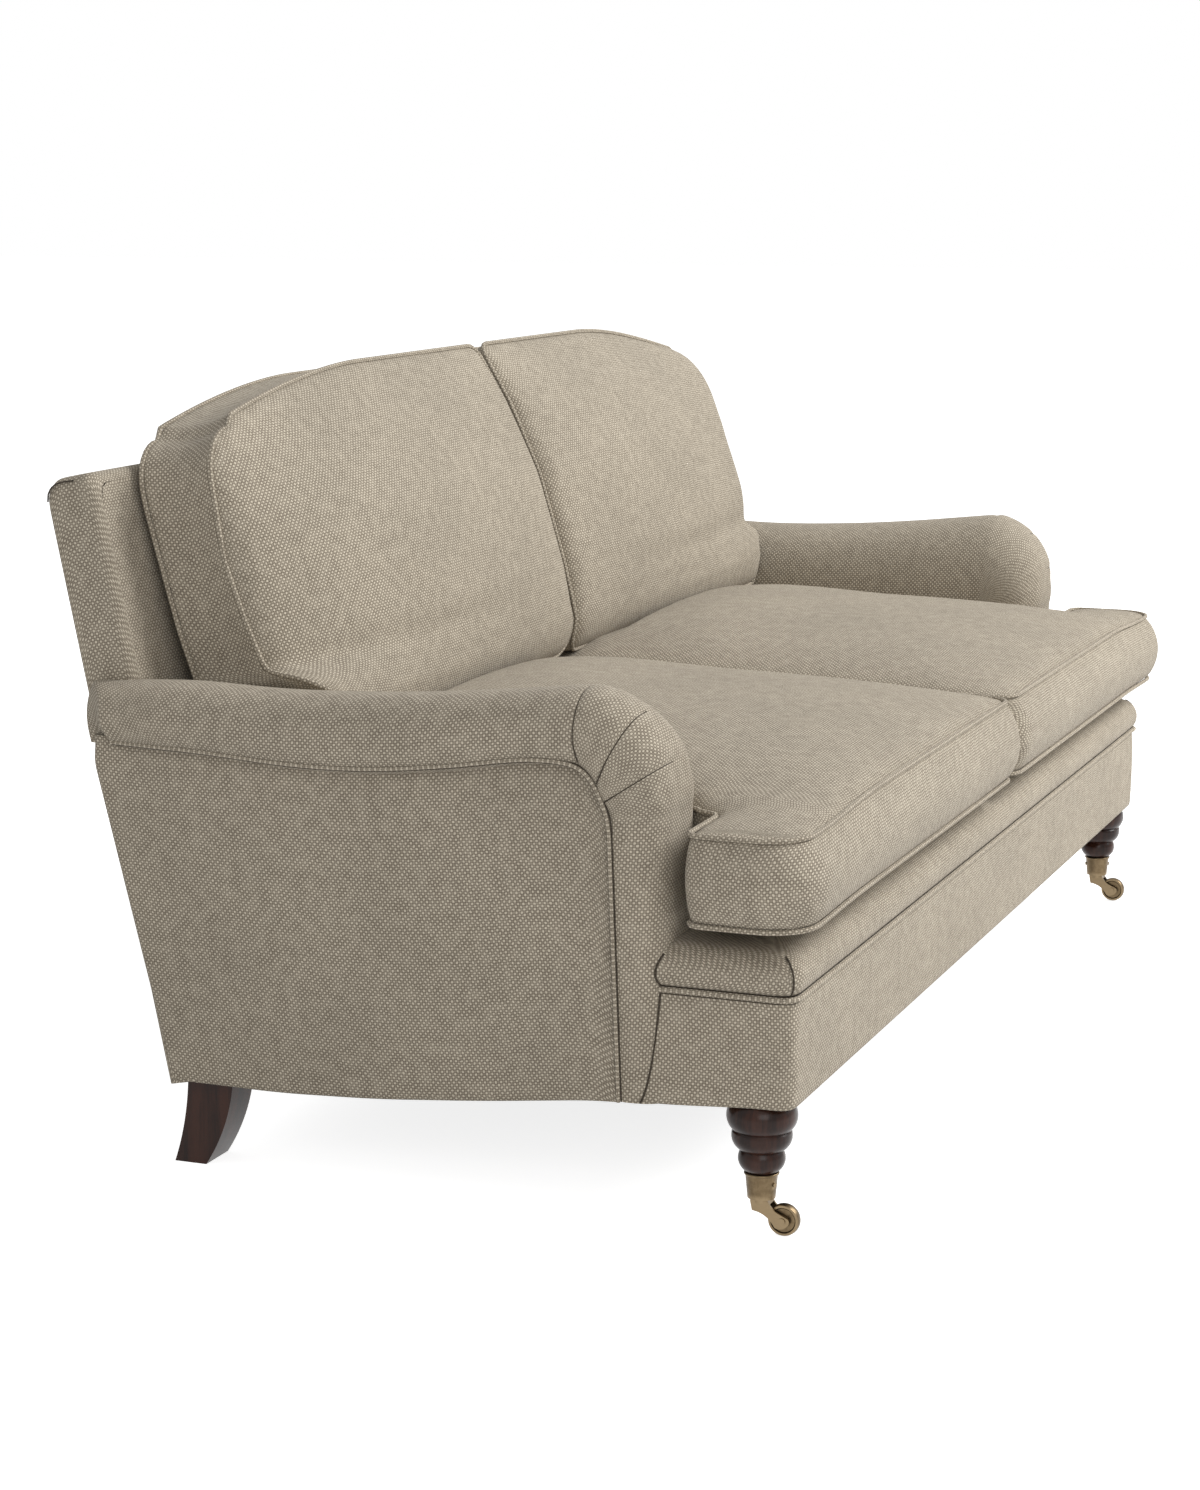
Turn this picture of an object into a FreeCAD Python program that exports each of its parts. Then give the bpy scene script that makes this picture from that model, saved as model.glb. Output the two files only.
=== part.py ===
import FreeCAD, Part
import math
import os

# English roll arm sofa: a sprung timber frame under fixed upholstery, two T-shaped seat cushions,
# two loose back cushions, turned front legs on castors and sabre back legs.
# Millimetres. The front faces -Y, +X is to the right of someone who looks at the front, +Z is up.
# The origin is on the floor, under the middle of the whole sofa.

V = FreeCAD.Vector
os.makedirs("parts", exist_ok=True)

# Overall sizes
overall_depth = 936.0
cushion_overhang = 35.0
body_half_width = 890.0
back_inset = 10.0
rail_bottom_z = 150.0
back_bottom_z = 112.0
welt_z = 275.0
deck_z = 327.0
back_top_z = 803.0
outside_top_z = 797.0
rake = 0.207
rest_gap = 0.4

# Timber and covers
timber = 28.0
cover = 10.0
post_width = 44.0
panel = 12.0
panel_lean = 2.9
rail_top_z = 278.0

# Arms: how thick, how far behind the front of the base they turn, and their layers. The turning line
# is the one that the roll's front bends round.
arm_thickness = 110.0
arm_setback = 228.0
arm_lining = 20.0
arm_turn_z = 467.0
arm_hollow = 11.0
arm_board = 22.0
seam_tuck = 17.0
roll_end_depth = 22.0
column_room = 18.0

# Back, in layers counted forwards from its rear face
outside_back = 5.0
back_timber = 37.0
back_depth = 65.0
back_edge = 8.0

# Seat cushions
cushion_half_gap = 0.5
seat_side_gap = 9.0
seat_bottom_seam_z = 360.0
seat_top_seam_z = 462.0
seat_rear_gap = 31.9
seat_front_bulge = 23.0
ear_proud = 42.0
ear_ahead = 125.0

# Back cushions
back_cushion_z = 460.0
back_cushion_height = 447.0
cushion_ear = 23.0
belly_share = 0.33
cover_cloth = 2.5
cloth_gap = 0.5

# Legs and castors
front_leg_side_inset = 37.0
front_leg_inset = 46.0
wood_end_z = 73.0
cup_top_z = 71.0
cup_bottom_z = 41.0
cup_floor = 3.0
cup_wall = 2.0
wheel_radius = 18.2
wheel_width = 13.0
trail = 26.5
pintle_radius = 4.0
axle_radius = 2.5
running_gap = 0.05
rear_leg_side_inset = 30.0
rear_leg_gap = 10.205
rear_leg_depth = 59.0
rear_leg_width = 54.0
bolt_radius = 4.0

# Places worked out from the sizes
front_y = cushion_overhang - overall_depth / 2
rail_y = front_y + cover
back_half_width = body_half_width - back_inset
rake_angle = math.atan(rake)
rake_cos = math.cos(rake_angle)
rake_sin = math.sin(rake_angle)
arm_inner = body_half_width - arm_thickness
arm_turn_y = front_y + arm_setback
strip_inner = body_half_width - column_room
side_rail_outer = strip_inner
side_rail_inner = side_rail_outer - timber
front_leg_y = front_y + front_leg_inset
front_leg_x = body_half_width - front_leg_side_inset
rear_leg_outer = body_half_width - rear_leg_side_inset
past_side = body_half_width + 110
past_rear = overall_depth / 2 + 12
past_top = back_top_z + 40


def rear_y(z):
    return overall_depth / 2 - rake * (outside_top_z - z)


leg_top_rear_y = rear_y(back_bottom_z) - rear_leg_gap
leg_top_front_y = leg_top_rear_y - rear_leg_depth
rail_slope_end_y = leg_top_front_y - 7
seat_side = arm_inner - seat_side_gap
seat_rear_y = rear_y(back_cushion_z) - back_depth / rake_cos - seat_rear_gap
ear_outer = body_half_width + ear_proud
ear_rear_y = arm_turn_y - ear_ahead
cushion_ear_outer = arm_inner + cushion_ear


# Small shapes that many pieces use
def box(x0, x1, y0, y1, z0, z1):
    return Part.makeBox(x1 - x0, y1 - y0, z1 - z0, V(x0, y0, z0))


def tube(radius, start, direction, length):
    return Part.makeCylinder(radius, length, start, direction)


def arc(a, b, c):
    return Part.Arc(a, b, c).toShape()


def line(a, b):
    return Part.makeLine(a, b)


def mirrored(shape):
    return shape.mirror(V(0, 0, 0), V(1, 0, 0))


def side_prism(outline, x0, x1):
    points = [V(x0, y, z) for y, z in outline]
    face = Part.Face(Part.makePolygon(points + [points[0]]))
    return face.extrude(V(x1 - x0, 0, 0))


def raked_slab(x0, x1, near, far, z0, z1):
    """A slab parallel to the back's rear face, between two depths counted forwards from it."""
    near_y = near / rake_cos
    far_y = far / rake_cos
    outline = [(rear_y(z0) - far_y, z0), (rear_y(z1) - far_y, z1),
               (rear_y(z1) - near_y, z1), (rear_y(z0) - near_y, z0)]
    return side_prism(outline, x0, x1)


def save(name, shape):
    shape.exportStep("parts/" + name + ".step")


def save_pair(name, left):
    save(name + "_left", left)
    save(name + "_right", mirrored(left))


# The space that the raked back fills: everything else stops in front of it
behind = raked_slab(-past_side, past_side, -past_rear, 2, 0, past_top)
back_space = raked_slab(-back_half_width, back_half_width, -past_rear, back_depth, 0, past_top)
post_space = raked_slab(-back_half_width, back_half_width, -past_rear, back_timber, 0, past_top)

# Timber base: front rail, side rails, back rail and one brace between the two seats
front_rail = box(-strip_inner, strip_inner, rail_y, rail_y + timber, rail_bottom_z, rail_top_z)
side_outline = [(rail_y + timber, rail_bottom_z), (arm_turn_y, rail_bottom_z),
                (rail_slope_end_y, back_bottom_z), (past_rear, back_bottom_z), (past_rear, rail_top_z),
                (rail_y + timber, rail_top_z)]
side_rail = side_prism(side_outline, -side_rail_outer, -side_rail_inner).cut(post_space)
post_outer = back_half_width - back_edge
post_inner = post_outer - post_width
back_rail = raked_slab(-post_inner, post_inner, outside_back, back_timber, back_bottom_z, rail_top_z)
brace_top_z = 240.0
brace = box(-timber / 2, timber / 2, rail_y + timber, past_rear, rail_bottom_z, brace_top_z)
brace = brace.cut(post_space)

# Corner blocks, glued and screwed into the four corners of the base
block_leg = 70.0
block_low_z = 165.0
block_high_z = 245.0
front_corner_y = rail_y + timber
rear_corner_y = rear_y(block_low_z) - back_timber / rake_cos


def corner_block(corner_y, toward):
    corner = [V(-side_rail_inner, corner_y, block_low_z),
              V(-side_rail_inner + block_leg, corner_y, block_low_z),
              V(-side_rail_inner, corner_y + toward * block_leg, block_low_z)]
    face = Part.Face(Part.makePolygon(corner + [corner[0]]))
    return face.extrude(V(0, 0, block_high_z - block_low_z))


front_block = corner_block(front_corner_y, 1)
rear_block = corner_block(rear_corner_y + 20, -1).cut(post_space)
corner_blocks = [front_block, mirrored(front_block), rear_block, mirrored(rear_block)]

# Arm frame: a post behind the front of the arm and a board under its roll
post_front_y = arm_turn_y - arm_hollow
board_top_z = arm_turn_z + arm_hollow
arm_post = box(-side_rail_inner, -arm_inner - arm_lining, post_front_y, post_front_y + 40,
               rail_bottom_z, board_top_z - arm_board)
board_outer = body_half_width + 8
board = box(-board_outer, -arm_inner - arm_lining, arm_turn_y, past_rear, board_top_z - arm_board,
            board_top_z)
board = board.cut(back_space).cut(behind)

# Back frame: two posts, a top rail and a lower rail for the webbing
back_post = raked_slab(-post_outer, -post_inner, outside_back, back_timber,
                       back_bottom_z, back_top_z - back_edge)
back_top_rail = raked_slab(-post_inner, post_inner, outside_back, back_timber,
                           back_top_z - 60, back_top_z - back_edge)
lower_rail_z = deck_z + 8
lower_rail_height = 50.0
back_lower_rail = raked_slab(-post_inner, post_inner, outside_back, back_timber,
                             lower_rail_z, lower_rail_z + lower_rail_height)


# Legs. The front leg is turned in three bulbs and ends in a peg for the castor cup.
def turned(outline):
    """Turn an outline of (radius, height) runs about the Z axis. Three numbers pairs make an arc."""
    edges = []
    for run in outline:
        points = [V(r, 0, z) for r, z in run]
        edges.append(arc(*points) if len(points) == 3 else line(*points))
    first = edges[0].Vertexes[0].Point
    last = edges[-1].Vertexes[1].Point
    edges.append(line(last, first))
    face = Part.Face(Part.Wire(edges))
    return face.revolve(V(0, 0, 0), V(0, 0, 1), 360)


peg_radius = 13.2
peg_end_z = cup_bottom_z + cup_floor
leg_profile = [[(0, rail_bottom_z), (33.5, rail_bottom_z)],
               [(33.5, rail_bottom_z), (39.3, 133), (32, 118.5)],
               [(32, 118.5), (33.2, 116.5)],
               [(33.2, 116.5), (31.8, 104), (23.6, 95.5)],
               [(23.6, 95.5), (24.4, 94)],
               [(24.4, 94), (26.2, 85), (20.2, wood_end_z)],
               [(20.2, wood_end_z), (15.8, cup_top_z)],
               [(15.8, cup_top_z), (peg_radius, peg_end_z + rest_gap)],
               [(peg_radius, peg_end_z + rest_gap), (0, peg_end_z + rest_gap)]]
leg_at = V(-front_leg_x, front_leg_y, 0)
front_leg = turned(leg_profile)

# The castor cup is a tapered brass socket with a rim and a floor that the pintle turns in
cup_outer = [[(16.2, cup_top_z - 0.6), (18.9, cup_top_z - 0.6)],
             [(18.9, cup_top_z - 0.6), (19.6, cup_top_z - 2.2), (18.0, cup_top_z - 3.6)],
             [(18.0, cup_top_z - 3.6), (15.6, cup_bottom_z)],
             [(15.6, cup_bottom_z), (pintle_radius + running_gap, cup_bottom_z)],
             [(pintle_radius + running_gap, cup_bottom_z), (pintle_radius + running_gap, peg_end_z)],
             [(pintle_radius + running_gap, peg_end_z), (peg_radius + 0.3, peg_end_z)]]
castor_cup = turned(cup_outer)

# Two round-headed pins hold each cup to its leg
pin_radius = 1.2
pin_z = 58.0
pin_reach = 11.0


def cup_pin(turn):
    shank = tube(pin_radius, V(pin_reach, 0, pin_z), V(1, 0, 0), 17.3 - pin_reach)
    head = tube(2.6, V(17.3, 0, pin_z), V(1, 0, 0), 1.4)
    pin = shank.fuse(head).removeSplitter()
    pin.rotate(V(0, 0, 0), V(0, 0, 1), turn)
    return pin


def pin_hole(turn, radius):
    hole = tube(radius, V(pin_reach - 0.5, 0, pin_z), V(1, 0, 0), 20)
    hole.rotate(V(0, 0, 0), V(0, 0, 1), turn)
    return hole


pin_turns = [250, 70]
cup_pins = [cup_pin(turn) for turn in pin_turns]
for turn in pin_turns:
    front_leg = front_leg.cut(pin_hole(turn, pin_radius + running_gap))
    castor_cup = castor_cup.cut(pin_hole(turn, pin_radius + running_gap))

# Horn: pintle, swivel plate and two cheeks that reach forwards and down to the axle
plate_top_z = cup_bottom_z - 0.3
plate_low_z = plate_top_z - 4.5
cheek = 2.6
cheek_inner = wheel_width / 2 + 0.4
cheek_outer = cheek_inner + cheek
pintle = tube(pintle_radius, V(0, 0, plate_low_z), V(0, 0, 1), peg_end_z - plate_low_z)
swivel_plate = tube(10.5, V(0, 0, plate_low_z), V(0, 0, 1), plate_top_z - plate_low_z)
cheek_outline = [V(0, 10, plate_low_z + 1.5), V(0, 8, 27.5), V(0, 0.5 - trail + 8, 10.5),
                 V(0, 0.5 - trail - 6.5, 13.5), V(0, -trail - 6.5, wheel_radius + 3.5),
                 V(0, -trail + 6, 27.5), V(0, -10, plate_top_z)]
cheek_edges = [line(cheek_outline[0], cheek_outline[1]),
               arc(cheek_outline[1], V(0, -8.5, 21.5), cheek_outline[2]),
               arc(cheek_outline[2], V(0, -trail, 9.5), cheek_outline[3]),
               arc(cheek_outline[3], V(0, -trail - 8.2, wheel_radius), cheek_outline[4]),
               line(cheek_outline[4], cheek_outline[5]),
               arc(cheek_outline[5], V(0, -14, 33), cheek_outline[6]),
               line(cheek_outline[6], V(0, 10, plate_top_z)),
               line(V(0, 10, plate_top_z), cheek_outline[0])]
cheek_solid = Part.Face(Part.Wire(cheek_edges)).extrude(V(2 * cheek_outer, 0, 0))
cheek_solid.translate(V(-cheek_outer, 0, 0))
wheel_room = tube(wheel_radius + 1.0, V(-cheek_inner, -trail, wheel_radius), V(1, 0, 0), 2 * cheek_inner)
axle_hole = tube(axle_radius + 0.02, V(-20, -trail, wheel_radius), V(1, 0, 0), 40)
side_room = box(-cheek_inner, cheek_inner, -60, -9, 0, plate_low_z - 0.5)
horn = cheek_solid.cut(side_room).cut(wheel_room).fuse(swivel_plate).fuse(pintle)
horn = horn.cut(wheel_room).cut(axle_hole).removeSplitter()
axle_half = cheek_outer + 1.2
axle = tube(axle_radius, V(-axle_half, -trail, wheel_radius), V(1, 0, 0), 2 * axle_half)
for side in (-1, 1):
    head_x = side * (cheek_outer + 0.6) - 0.6
    axle = axle.fuse(tube(3.8, V(head_x, -trail, wheel_radius), V(1, 0, 0), 1.2))
axle = axle.removeSplitter()

# Dished brass wheel with a raised hub and a rounded tread
hub_half = wheel_width / 2
tread_half = wheel_width / 2 - 0.9
wheel_outline = [[(axle_radius + running_gap, -hub_half), (6.2, -hub_half)],
                 [(6.2, -hub_half), (7.0, -hub_half + 2.6)],
                 [(7.0, -hub_half + 2.6), (13.2, -hub_half + 2.6)],
                 [(13.2, -hub_half + 2.6), (14.6, -tread_half)],
                 [(14.6, -tread_half), (wheel_radius - 1.2, -tread_half)],
                 [(wheel_radius - 1.2, -tread_half), (wheel_radius, 0), (wheel_radius - 1.2, tread_half)],
                 [(wheel_radius - 1.2, tread_half), (14.6, tread_half)],
                 [(14.6, tread_half), (13.2, hub_half - 2.6)],
                 [(13.2, hub_half - 2.6), (7.0, hub_half - 2.6)],
                 [(7.0, hub_half - 2.6), (6.2, hub_half)],
                 [(6.2, hub_half), (axle_radius + running_gap, hub_half)]]
wheel = turned(wheel_outline)
wheel.rotate(V(0, 0, 0), V(0, 1, 0), 90)
wheel.translate(V(0, -trail, wheel_radius))

# Sabre back leg: its two curves sweep backwards towards the floor
heel_y = leg_top_rear_y + 20
toe_y = leg_top_rear_y - 21
rear_leg_edges = [line(V(0, toe_y, 0), V(0, heel_y, 0)),
                  arc(V(0, heel_y, 0), V(0, leg_top_rear_y + 6, 52), V(0, leg_top_rear_y, back_bottom_z)),
                  line(V(0, leg_top_rear_y, back_bottom_z), V(0, leg_top_front_y, back_bottom_z)),
                  arc(V(0, leg_top_front_y, back_bottom_z), V(0, leg_top_front_y + 10, 58), V(0, toe_y, 0))]
rear_leg = Part.Face(Part.Wire(rear_leg_edges)).extrude(V(rear_leg_width, 0, 0))
rear_leg.translate(V(-rear_leg_outer, 0, 0))

# One bolt runs from each leg into the rail above it
front_bolt_at = V(-front_leg_x, front_leg_y, 118)
rear_bolt_at = V(-rear_leg_outer + 6, leg_top_front_y + 15, 70)
bolt_length = 82.0
front_bolt = tube(bolt_radius - running_gap, front_bolt_at, V(0, 0, 1), bolt_length)
rear_bolt = tube(bolt_radius - running_gap, rear_bolt_at, V(0, 0, 1), bolt_length)
front_bolt_hole = tube(bolt_radius, front_bolt_at, V(0, 0, 1), bolt_length)
rear_bolt_hole = tube(bolt_radius, rear_bolt_at, V(0, 0, 1), bolt_length)
leg_bolts = [front_bolt, mirrored(front_bolt), rear_bolt, mirrored(rear_bolt)]

for moved in [front_leg, castor_cup, horn, axle, wheel] + cup_pins:
    moved.translate(leg_at)
front_leg = front_leg.cut(front_bolt_hole)
rear_leg = rear_leg.cut(rear_bolt_hole)
side_rail = side_rail.cut(front_bolt_hole).cut(rear_bolt_hole)

# Zigzag seat springs, three under each seat, held by a clip at each end
wire = 1.9
spring_z = 262.0
spring_width = 24.0
spring_front_y = rail_y + timber + 4
spring_rear_y = rear_y(spring_z - 5) - back_timber / rake_cos - 4
spring_waves = 12
wave = (spring_rear_y - spring_front_y) / spring_waves
spring_places = [0.18 * arm_inner, 0.5 * arm_inner, 0.82 * arm_inner]


def zigzag_spring(x):
    """A wire that runs across, turns half a circle and runs back, once for each wave."""
    half = wave / 2
    path = []
    y = spring_front_y
    side = 1
    for turn_number in range(spring_waves):
        start = V(x - side * spring_width, y, spring_z)
        corner = V(x + side * spring_width, y, spring_z)
        crest = V(x + side * (spring_width + half), y + half, spring_z)
        end = V(x + side * spring_width, y + wave, spring_z)
        path.append(line(start, corner))
        path.append(arc(corner, crest, end))
        y = y + wave
        side = -side
    path.append(line(V(x - side * spring_width, y, spring_z), V(x + side * spring_width, y, spring_z)))
    ring = Part.makeCircle(wire, path[0].Vertexes[0].Point, V(1, 0, 0))
    return Part.Wire(path).makePipeShell([Part.Wire([ring])], True, False)


springs = []
clips = []
for place in spring_places:
    for x in (-place, place):
        springs.append(zigzag_spring(x))
        for y, back in ((spring_front_y, -1), (spring_rear_y, 1)):
            shoe = box(x - 12, x + 12, y - 4, y + 4, spring_z - 5, spring_z + 3.5)
            slot = box(x - 13, x + 13, y - wire - 0.2, y + wire + 0.2, spring_z - wire - 0.2, spring_z + 9)
            clips.append(shoe.cut(slot))

# Hessian over the springs, and the padded deck that the seat cushions lie on
cloth_z = spring_z + 4.0
hessian_side = arm_inner + arm_lining
hessian = box(-hessian_side, hessian_side, rail_y + timber, past_rear, cloth_z, cloth_z + 1.0)
hessian = hessian.cut(post_space)
border_depth = 76.0
border_inner_y = front_y - 6 + border_depth
deck_low_z = cloth_z + 1.0
deck_side = arm_inner + 40
column_reach = 89.0
deck_wide = box(-deck_side, deck_side, border_inner_y, arm_turn_y - column_reach, rail_top_z, deck_z)
deck_back = box(-hessian_side, hessian_side, arm_turn_y - column_reach, past_rear, rail_top_z, deck_z)
deck_fill = box(-arm_inner, arm_inner, border_inner_y, past_rear, deck_low_z, rail_top_z)
seat_deck = deck_wide.fuse(deck_back).fuse(deck_fill).cut(back_space).removeSplitter()


# Arm roll: one padded bolster that runs along the top of the arm, turns over its front and goes down it.
# Each station is a section square to that run. The numbers are the seam's place, the crest's place and
# how far down the inner side the bolster reaches. Heights are counted from the turning line, and places
# across the arm outwards from the side of the base.
def arm_station(angle, along, seam_out, seam_v, crest_out, crest_v, side_v, belly):
    """A closed section: outer curve, inner curve, inner side, underside and the tuck at the seam."""
    turn = math.radians(angle)
    seam_x = body_half_width + seam_out
    crest_x = body_half_width + crest_out
    if angle < 1:
        origin = V(0, along, arm_turn_z)
    elif angle > 89:
        origin = V(0, arm_turn_y, along)
    else:
        origin = V(0, arm_turn_y, arm_turn_z)
    out = V(0, -math.sin(turn), math.cos(turn))

    def at(u, v):
        return V(-u, 0, 0) + origin + out * v

    seam = at(seam_x, seam_v)
    crest = at(crest_x, crest_v)
    flank = at(arm_inner, side_v)
    outer_mid = at(seam_x + belly, seam_v + 0.52 * (crest_v - seam_v))
    inner_mid = at(arm_inner + 0.27 * (crest_x - arm_inner), side_v + 0.72 * (crest_v - side_v))
    foot = at(arm_inner, arm_hollow)
    tuck = at(seam_x - 20, seam_v - seam_tuck)
    return Part.Wire([arc(seam, outer_mid, crest), arc(crest, inner_mid, flank),
                      line(flank, foot), line(foot, tuck), line(tuck, seam)])


arm_stations = [arm_station(0, past_rear, 27, 36, -10, 102, 42, 22),
                arm_station(0, arm_turn_y + 405, 27, 34, -10, 107, 44, 23),
                arm_station(0, arm_turn_y + 145, 27, 38, -10, 118, 48, 23),
                arm_station(0, arm_turn_y + 55, 28, 44, -11, 128, 53, 22),
                arm_station(0, arm_turn_y, 28, 50, -12, 134, 58, 20),
                arm_station(18, 0, 28, 51, -14, 130, 58, 18),
                arm_station(36, 0, 28, 49, -18, 121, 58, 14),
                arm_station(54, 0, 28, 44, -24, 109, 56, 9),
                arm_station(72, 0, 27, 37, -33, 97, 53, 2),
                arm_station(90, arm_turn_z, 27, 31, -40, 89, 50, -4),
                arm_station(90, 330, 16, 30, -44, 88, 50, -6),
                arm_station(90, rail_bottom_z - 6, 4, 30, -50, 86, 50, -6)]
arm_bolster = Part.makeLoft(arm_stations, True, True)
below_deck = box(-strip_inner, -arm_inner + 180, front_y + 33, arm_turn_y + 55, 60, deck_z)
roll_end = raked_slab(-past_side, past_side, -past_rear, roll_end_depth, 0, back_top_z)
arm_roll = arm_bolster.cut(below_deck).cut(back_space).cut(roll_end)
column_low = Part.makeLoft(arm_stations[-2:], True, True)
column_low.translate(V(0, -rest_gap, 0))

# Inside arm: the padded panel between the seat and the roll
inside_outline = [(post_front_y, deck_z), (past_rear, deck_z), (past_rear, board_top_z),
                  (arm_turn_y, board_top_z), (post_front_y, arm_turn_z)]
inside_arm = side_prism(inside_outline, -arm_inner - arm_lining, -arm_inner).cut(back_space)

# Outside arm panel: follows the roll's seam along its top and the column's seam down its front.
# It leans outwards a little, from the bottom up.
panel_foot_z = 110.0
panel_front_y = arm_turn_y - 30 + seam_tuck + 0.5
panel_top = [(past_rear, arm_turn_z + 19), (arm_turn_y + 405, arm_turn_z + 17),
             (arm_turn_y + 145, arm_turn_z + 21), (arm_turn_y + 25, arm_turn_z + 31),
             (arm_turn_y, arm_turn_z + 32)]
panel_corner = [V(0, arm_turn_y, arm_turn_z + 32), V(0, arm_turn_y - 9, arm_turn_z + 24),
                V(0, panel_front_y, arm_turn_z + 11)]
slope_y = arm_turn_y + 185
slope_z = (rail_bottom_z + back_bottom_z) / 2 - 7
panel_low = [V(0, panel_front_y, rail_bottom_z - 8), V(0, arm_turn_y + 75, rail_bottom_z - 10),
             V(0, slope_y, slope_z)]
panel_run = [V(0, slope_y, slope_z), V(0, slope_y + 140, back_bottom_z - 6),
             V(0, past_rear, back_bottom_z - 4)]
panel_points = [V(0, y, z) for y, z in panel_top]
panel_edges = [line(a, b) for a, b in zip(panel_points[:-1], panel_points[1:])]
panel_edges.append(arc(*panel_corner))
panel_edges.append(line(panel_corner[2], panel_low[0]))
panel_edges.append(arc(*panel_low))
panel_edges.append(arc(*panel_run))
panel_edges.append(line(panel_run[2], panel_points[0]))
outside_arm = Part.Face(Part.Wire(panel_edges)).extrude(V(panel, 0, 0))
outside_arm.translate(V(-body_half_width - 3, 0, 0))
outside_arm = outside_arm.cut(raked_slab(-past_side, 0, -past_rear, 0, 0, past_top))
outside_arm.rotate(V(-body_half_width - 3, 0, panel_foot_z), V(0, 1, 0), -panel_lean)

# Front of the base: cover over the rail, cord above it and the padded border roll on top
return_y = arm_turn_y - 45


def base_band(out, low, high, corner, depth, top_round, low_round):
    """A band round the front and both ends of the base, open at the back and underneath."""
    x = body_half_width + out
    y = front_y - out
    band = box(-x, x, y, return_y, low, high)
    upright = [e for e in band.Edges if e.BoundBox.ZLength > 1 and abs(e.BoundBox.YMin - y) < 0.1]
    band = band.makeFillet(corner, upright)
    top = [e for e in band.Edges if e.BoundBox.ZMin > high - 0.1 and e.BoundBox.YMin < return_y - 1]
    band = band.makeFillet(top_round, top)
    low_edges = [e for e in band.Edges if e.BoundBox.ZMax < low + 0.1 and e.BoundBox.YMin < return_y - 1]
    band = band.makeFillet(low_round, low_edges)
    return band.cut(box(-x + depth, x - depth, y + depth, return_y + 1, low - 1, high + 1))


rail_cover = base_band(0, rail_bottom_z, welt_z - 3, 16, cover, 2.5, 4)
rail_cover = rail_cover.cut(box(-strip_inner, strip_inner, rail_y, 0, 100, welt_z))
border_welt = base_band(2.5, welt_z - 3, welt_z + 3, 16, cover, 2.4, 2.4)
border_roll = base_band(6, welt_z + 3, deck_z, 24, border_depth, 34, 12)
covers = []
for piece in (rail_cover, border_welt, border_roll):
    covers.append(piece.cut(column_low).cut(mirrored(column_low)))

# Back upholstery: padding over the webbing, a border over the top and ends, and the outside panel
strap = 2.0
straps = []
for x in (-0.68 * post_inner, -0.23 * post_inner, 0.23 * post_inner, 0.68 * post_inner):
    straps.append(raked_slab(x - 30, x + 30, back_timber, back_timber + strap, 345, back_top_z - 20))
inside_back = raked_slab(-post_outer, post_outer, back_timber + strap, back_depth,
                         deck_z, back_top_z - back_edge)


def raked_point(depth, z):
    return V(-back_half_width, rear_y(z) - depth / rake_cos, z)


edge_low = back_top_z - back_edge
mid_low = back_top_z - 0.3 * back_edge
border_edges = [line(raked_point(outside_back, edge_low), raked_point(back_depth, edge_low)),
                arc(raked_point(back_depth, edge_low), raked_point(back_depth - 3, mid_low),
                    raked_point(back_depth - 10, back_top_z)),
                line(raked_point(back_depth - 10, back_top_z), raked_point(outside_back + 10, back_top_z)),
                arc(raked_point(outside_back + 10, back_top_z), raked_point(outside_back + 3, mid_low),
                    raked_point(outside_back, edge_low))]
top_border = Part.Face(Part.Wire(border_edges)).extrude(V(2 * back_half_width, 0, 0))
end_border = raked_slab(-back_half_width, -post_outer, outside_back, back_depth,
                        back_bottom_z, edge_low)
back_border = top_border.fuse(end_border).fuse(mirrored(end_border)).removeSplitter()
outside_panel = raked_slab(-back_half_width, back_half_width, 0, outside_back, back_bottom_z, outside_top_z)

# Dust cover, tacked under the middle of the rails and cut out round the legs
dust_front_y = rail_y + timber / 2
dust_rear_y = rear_y(back_bottom_z) - 8
dust_half_width = side_rail_inner + 3
dust_outline = [(dust_front_y, rail_bottom_z - 1), (arm_turn_y, rail_bottom_z - 1),
                (rail_slope_end_y, back_bottom_z - 1), (dust_rear_y, back_bottom_z - 1),
                (dust_rear_y, back_bottom_z), (rail_slope_end_y, back_bottom_z),
                (arm_turn_y, rail_bottom_z), (dust_front_y, rail_bottom_z)]
dust_cover = side_prism(dust_outline, -dust_half_width, dust_half_width)
for side in (-1, 1):
    dust_cover = dust_cover.cut(tube(35, V(side * front_leg_x, front_leg_y, 100), V(0, 0, 1), 60))
    low_x = min(side * rear_leg_outer, side * (rear_leg_outer - rear_leg_width))
    high_x = low_x + rear_leg_width
    dust_cover = dust_cover.cut(box(low_x - 1, high_x + 1, leg_top_front_y - 1, past_rear, 90, 140))


# Seat cushion: sections across its width. Each has a bowed front, a crowned top and a crowned bottom.
def seat_section(x, rear, top_crown, low_crown, front_bow, rear_bow, inset):
    front = front_y - (cushion_overhang - seat_front_bulge) + inset
    back = rear - inset
    low = seat_bottom_seam_z + inset
    high = seat_top_seam_z - inset
    mid_y = (front + back) / 2
    mid_z = (low + high) / 2
    a = V(-x, front, low)
    b = V(-x, front, high)
    c = V(-x, back, high)
    d = V(-x, back, low)
    return Part.Wire([arc(a, V(-x, front - front_bow, mid_z), b),
                      arc(b, V(-x, mid_y, high + top_crown), c),
                      arc(c, V(-x, back + rear_bow, mid_z), d),
                      arc(d, V(-x, mid_y, low - low_crown), a)])


deep_crown = seat_bottom_seam_z - deck_z - 3.5


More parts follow.
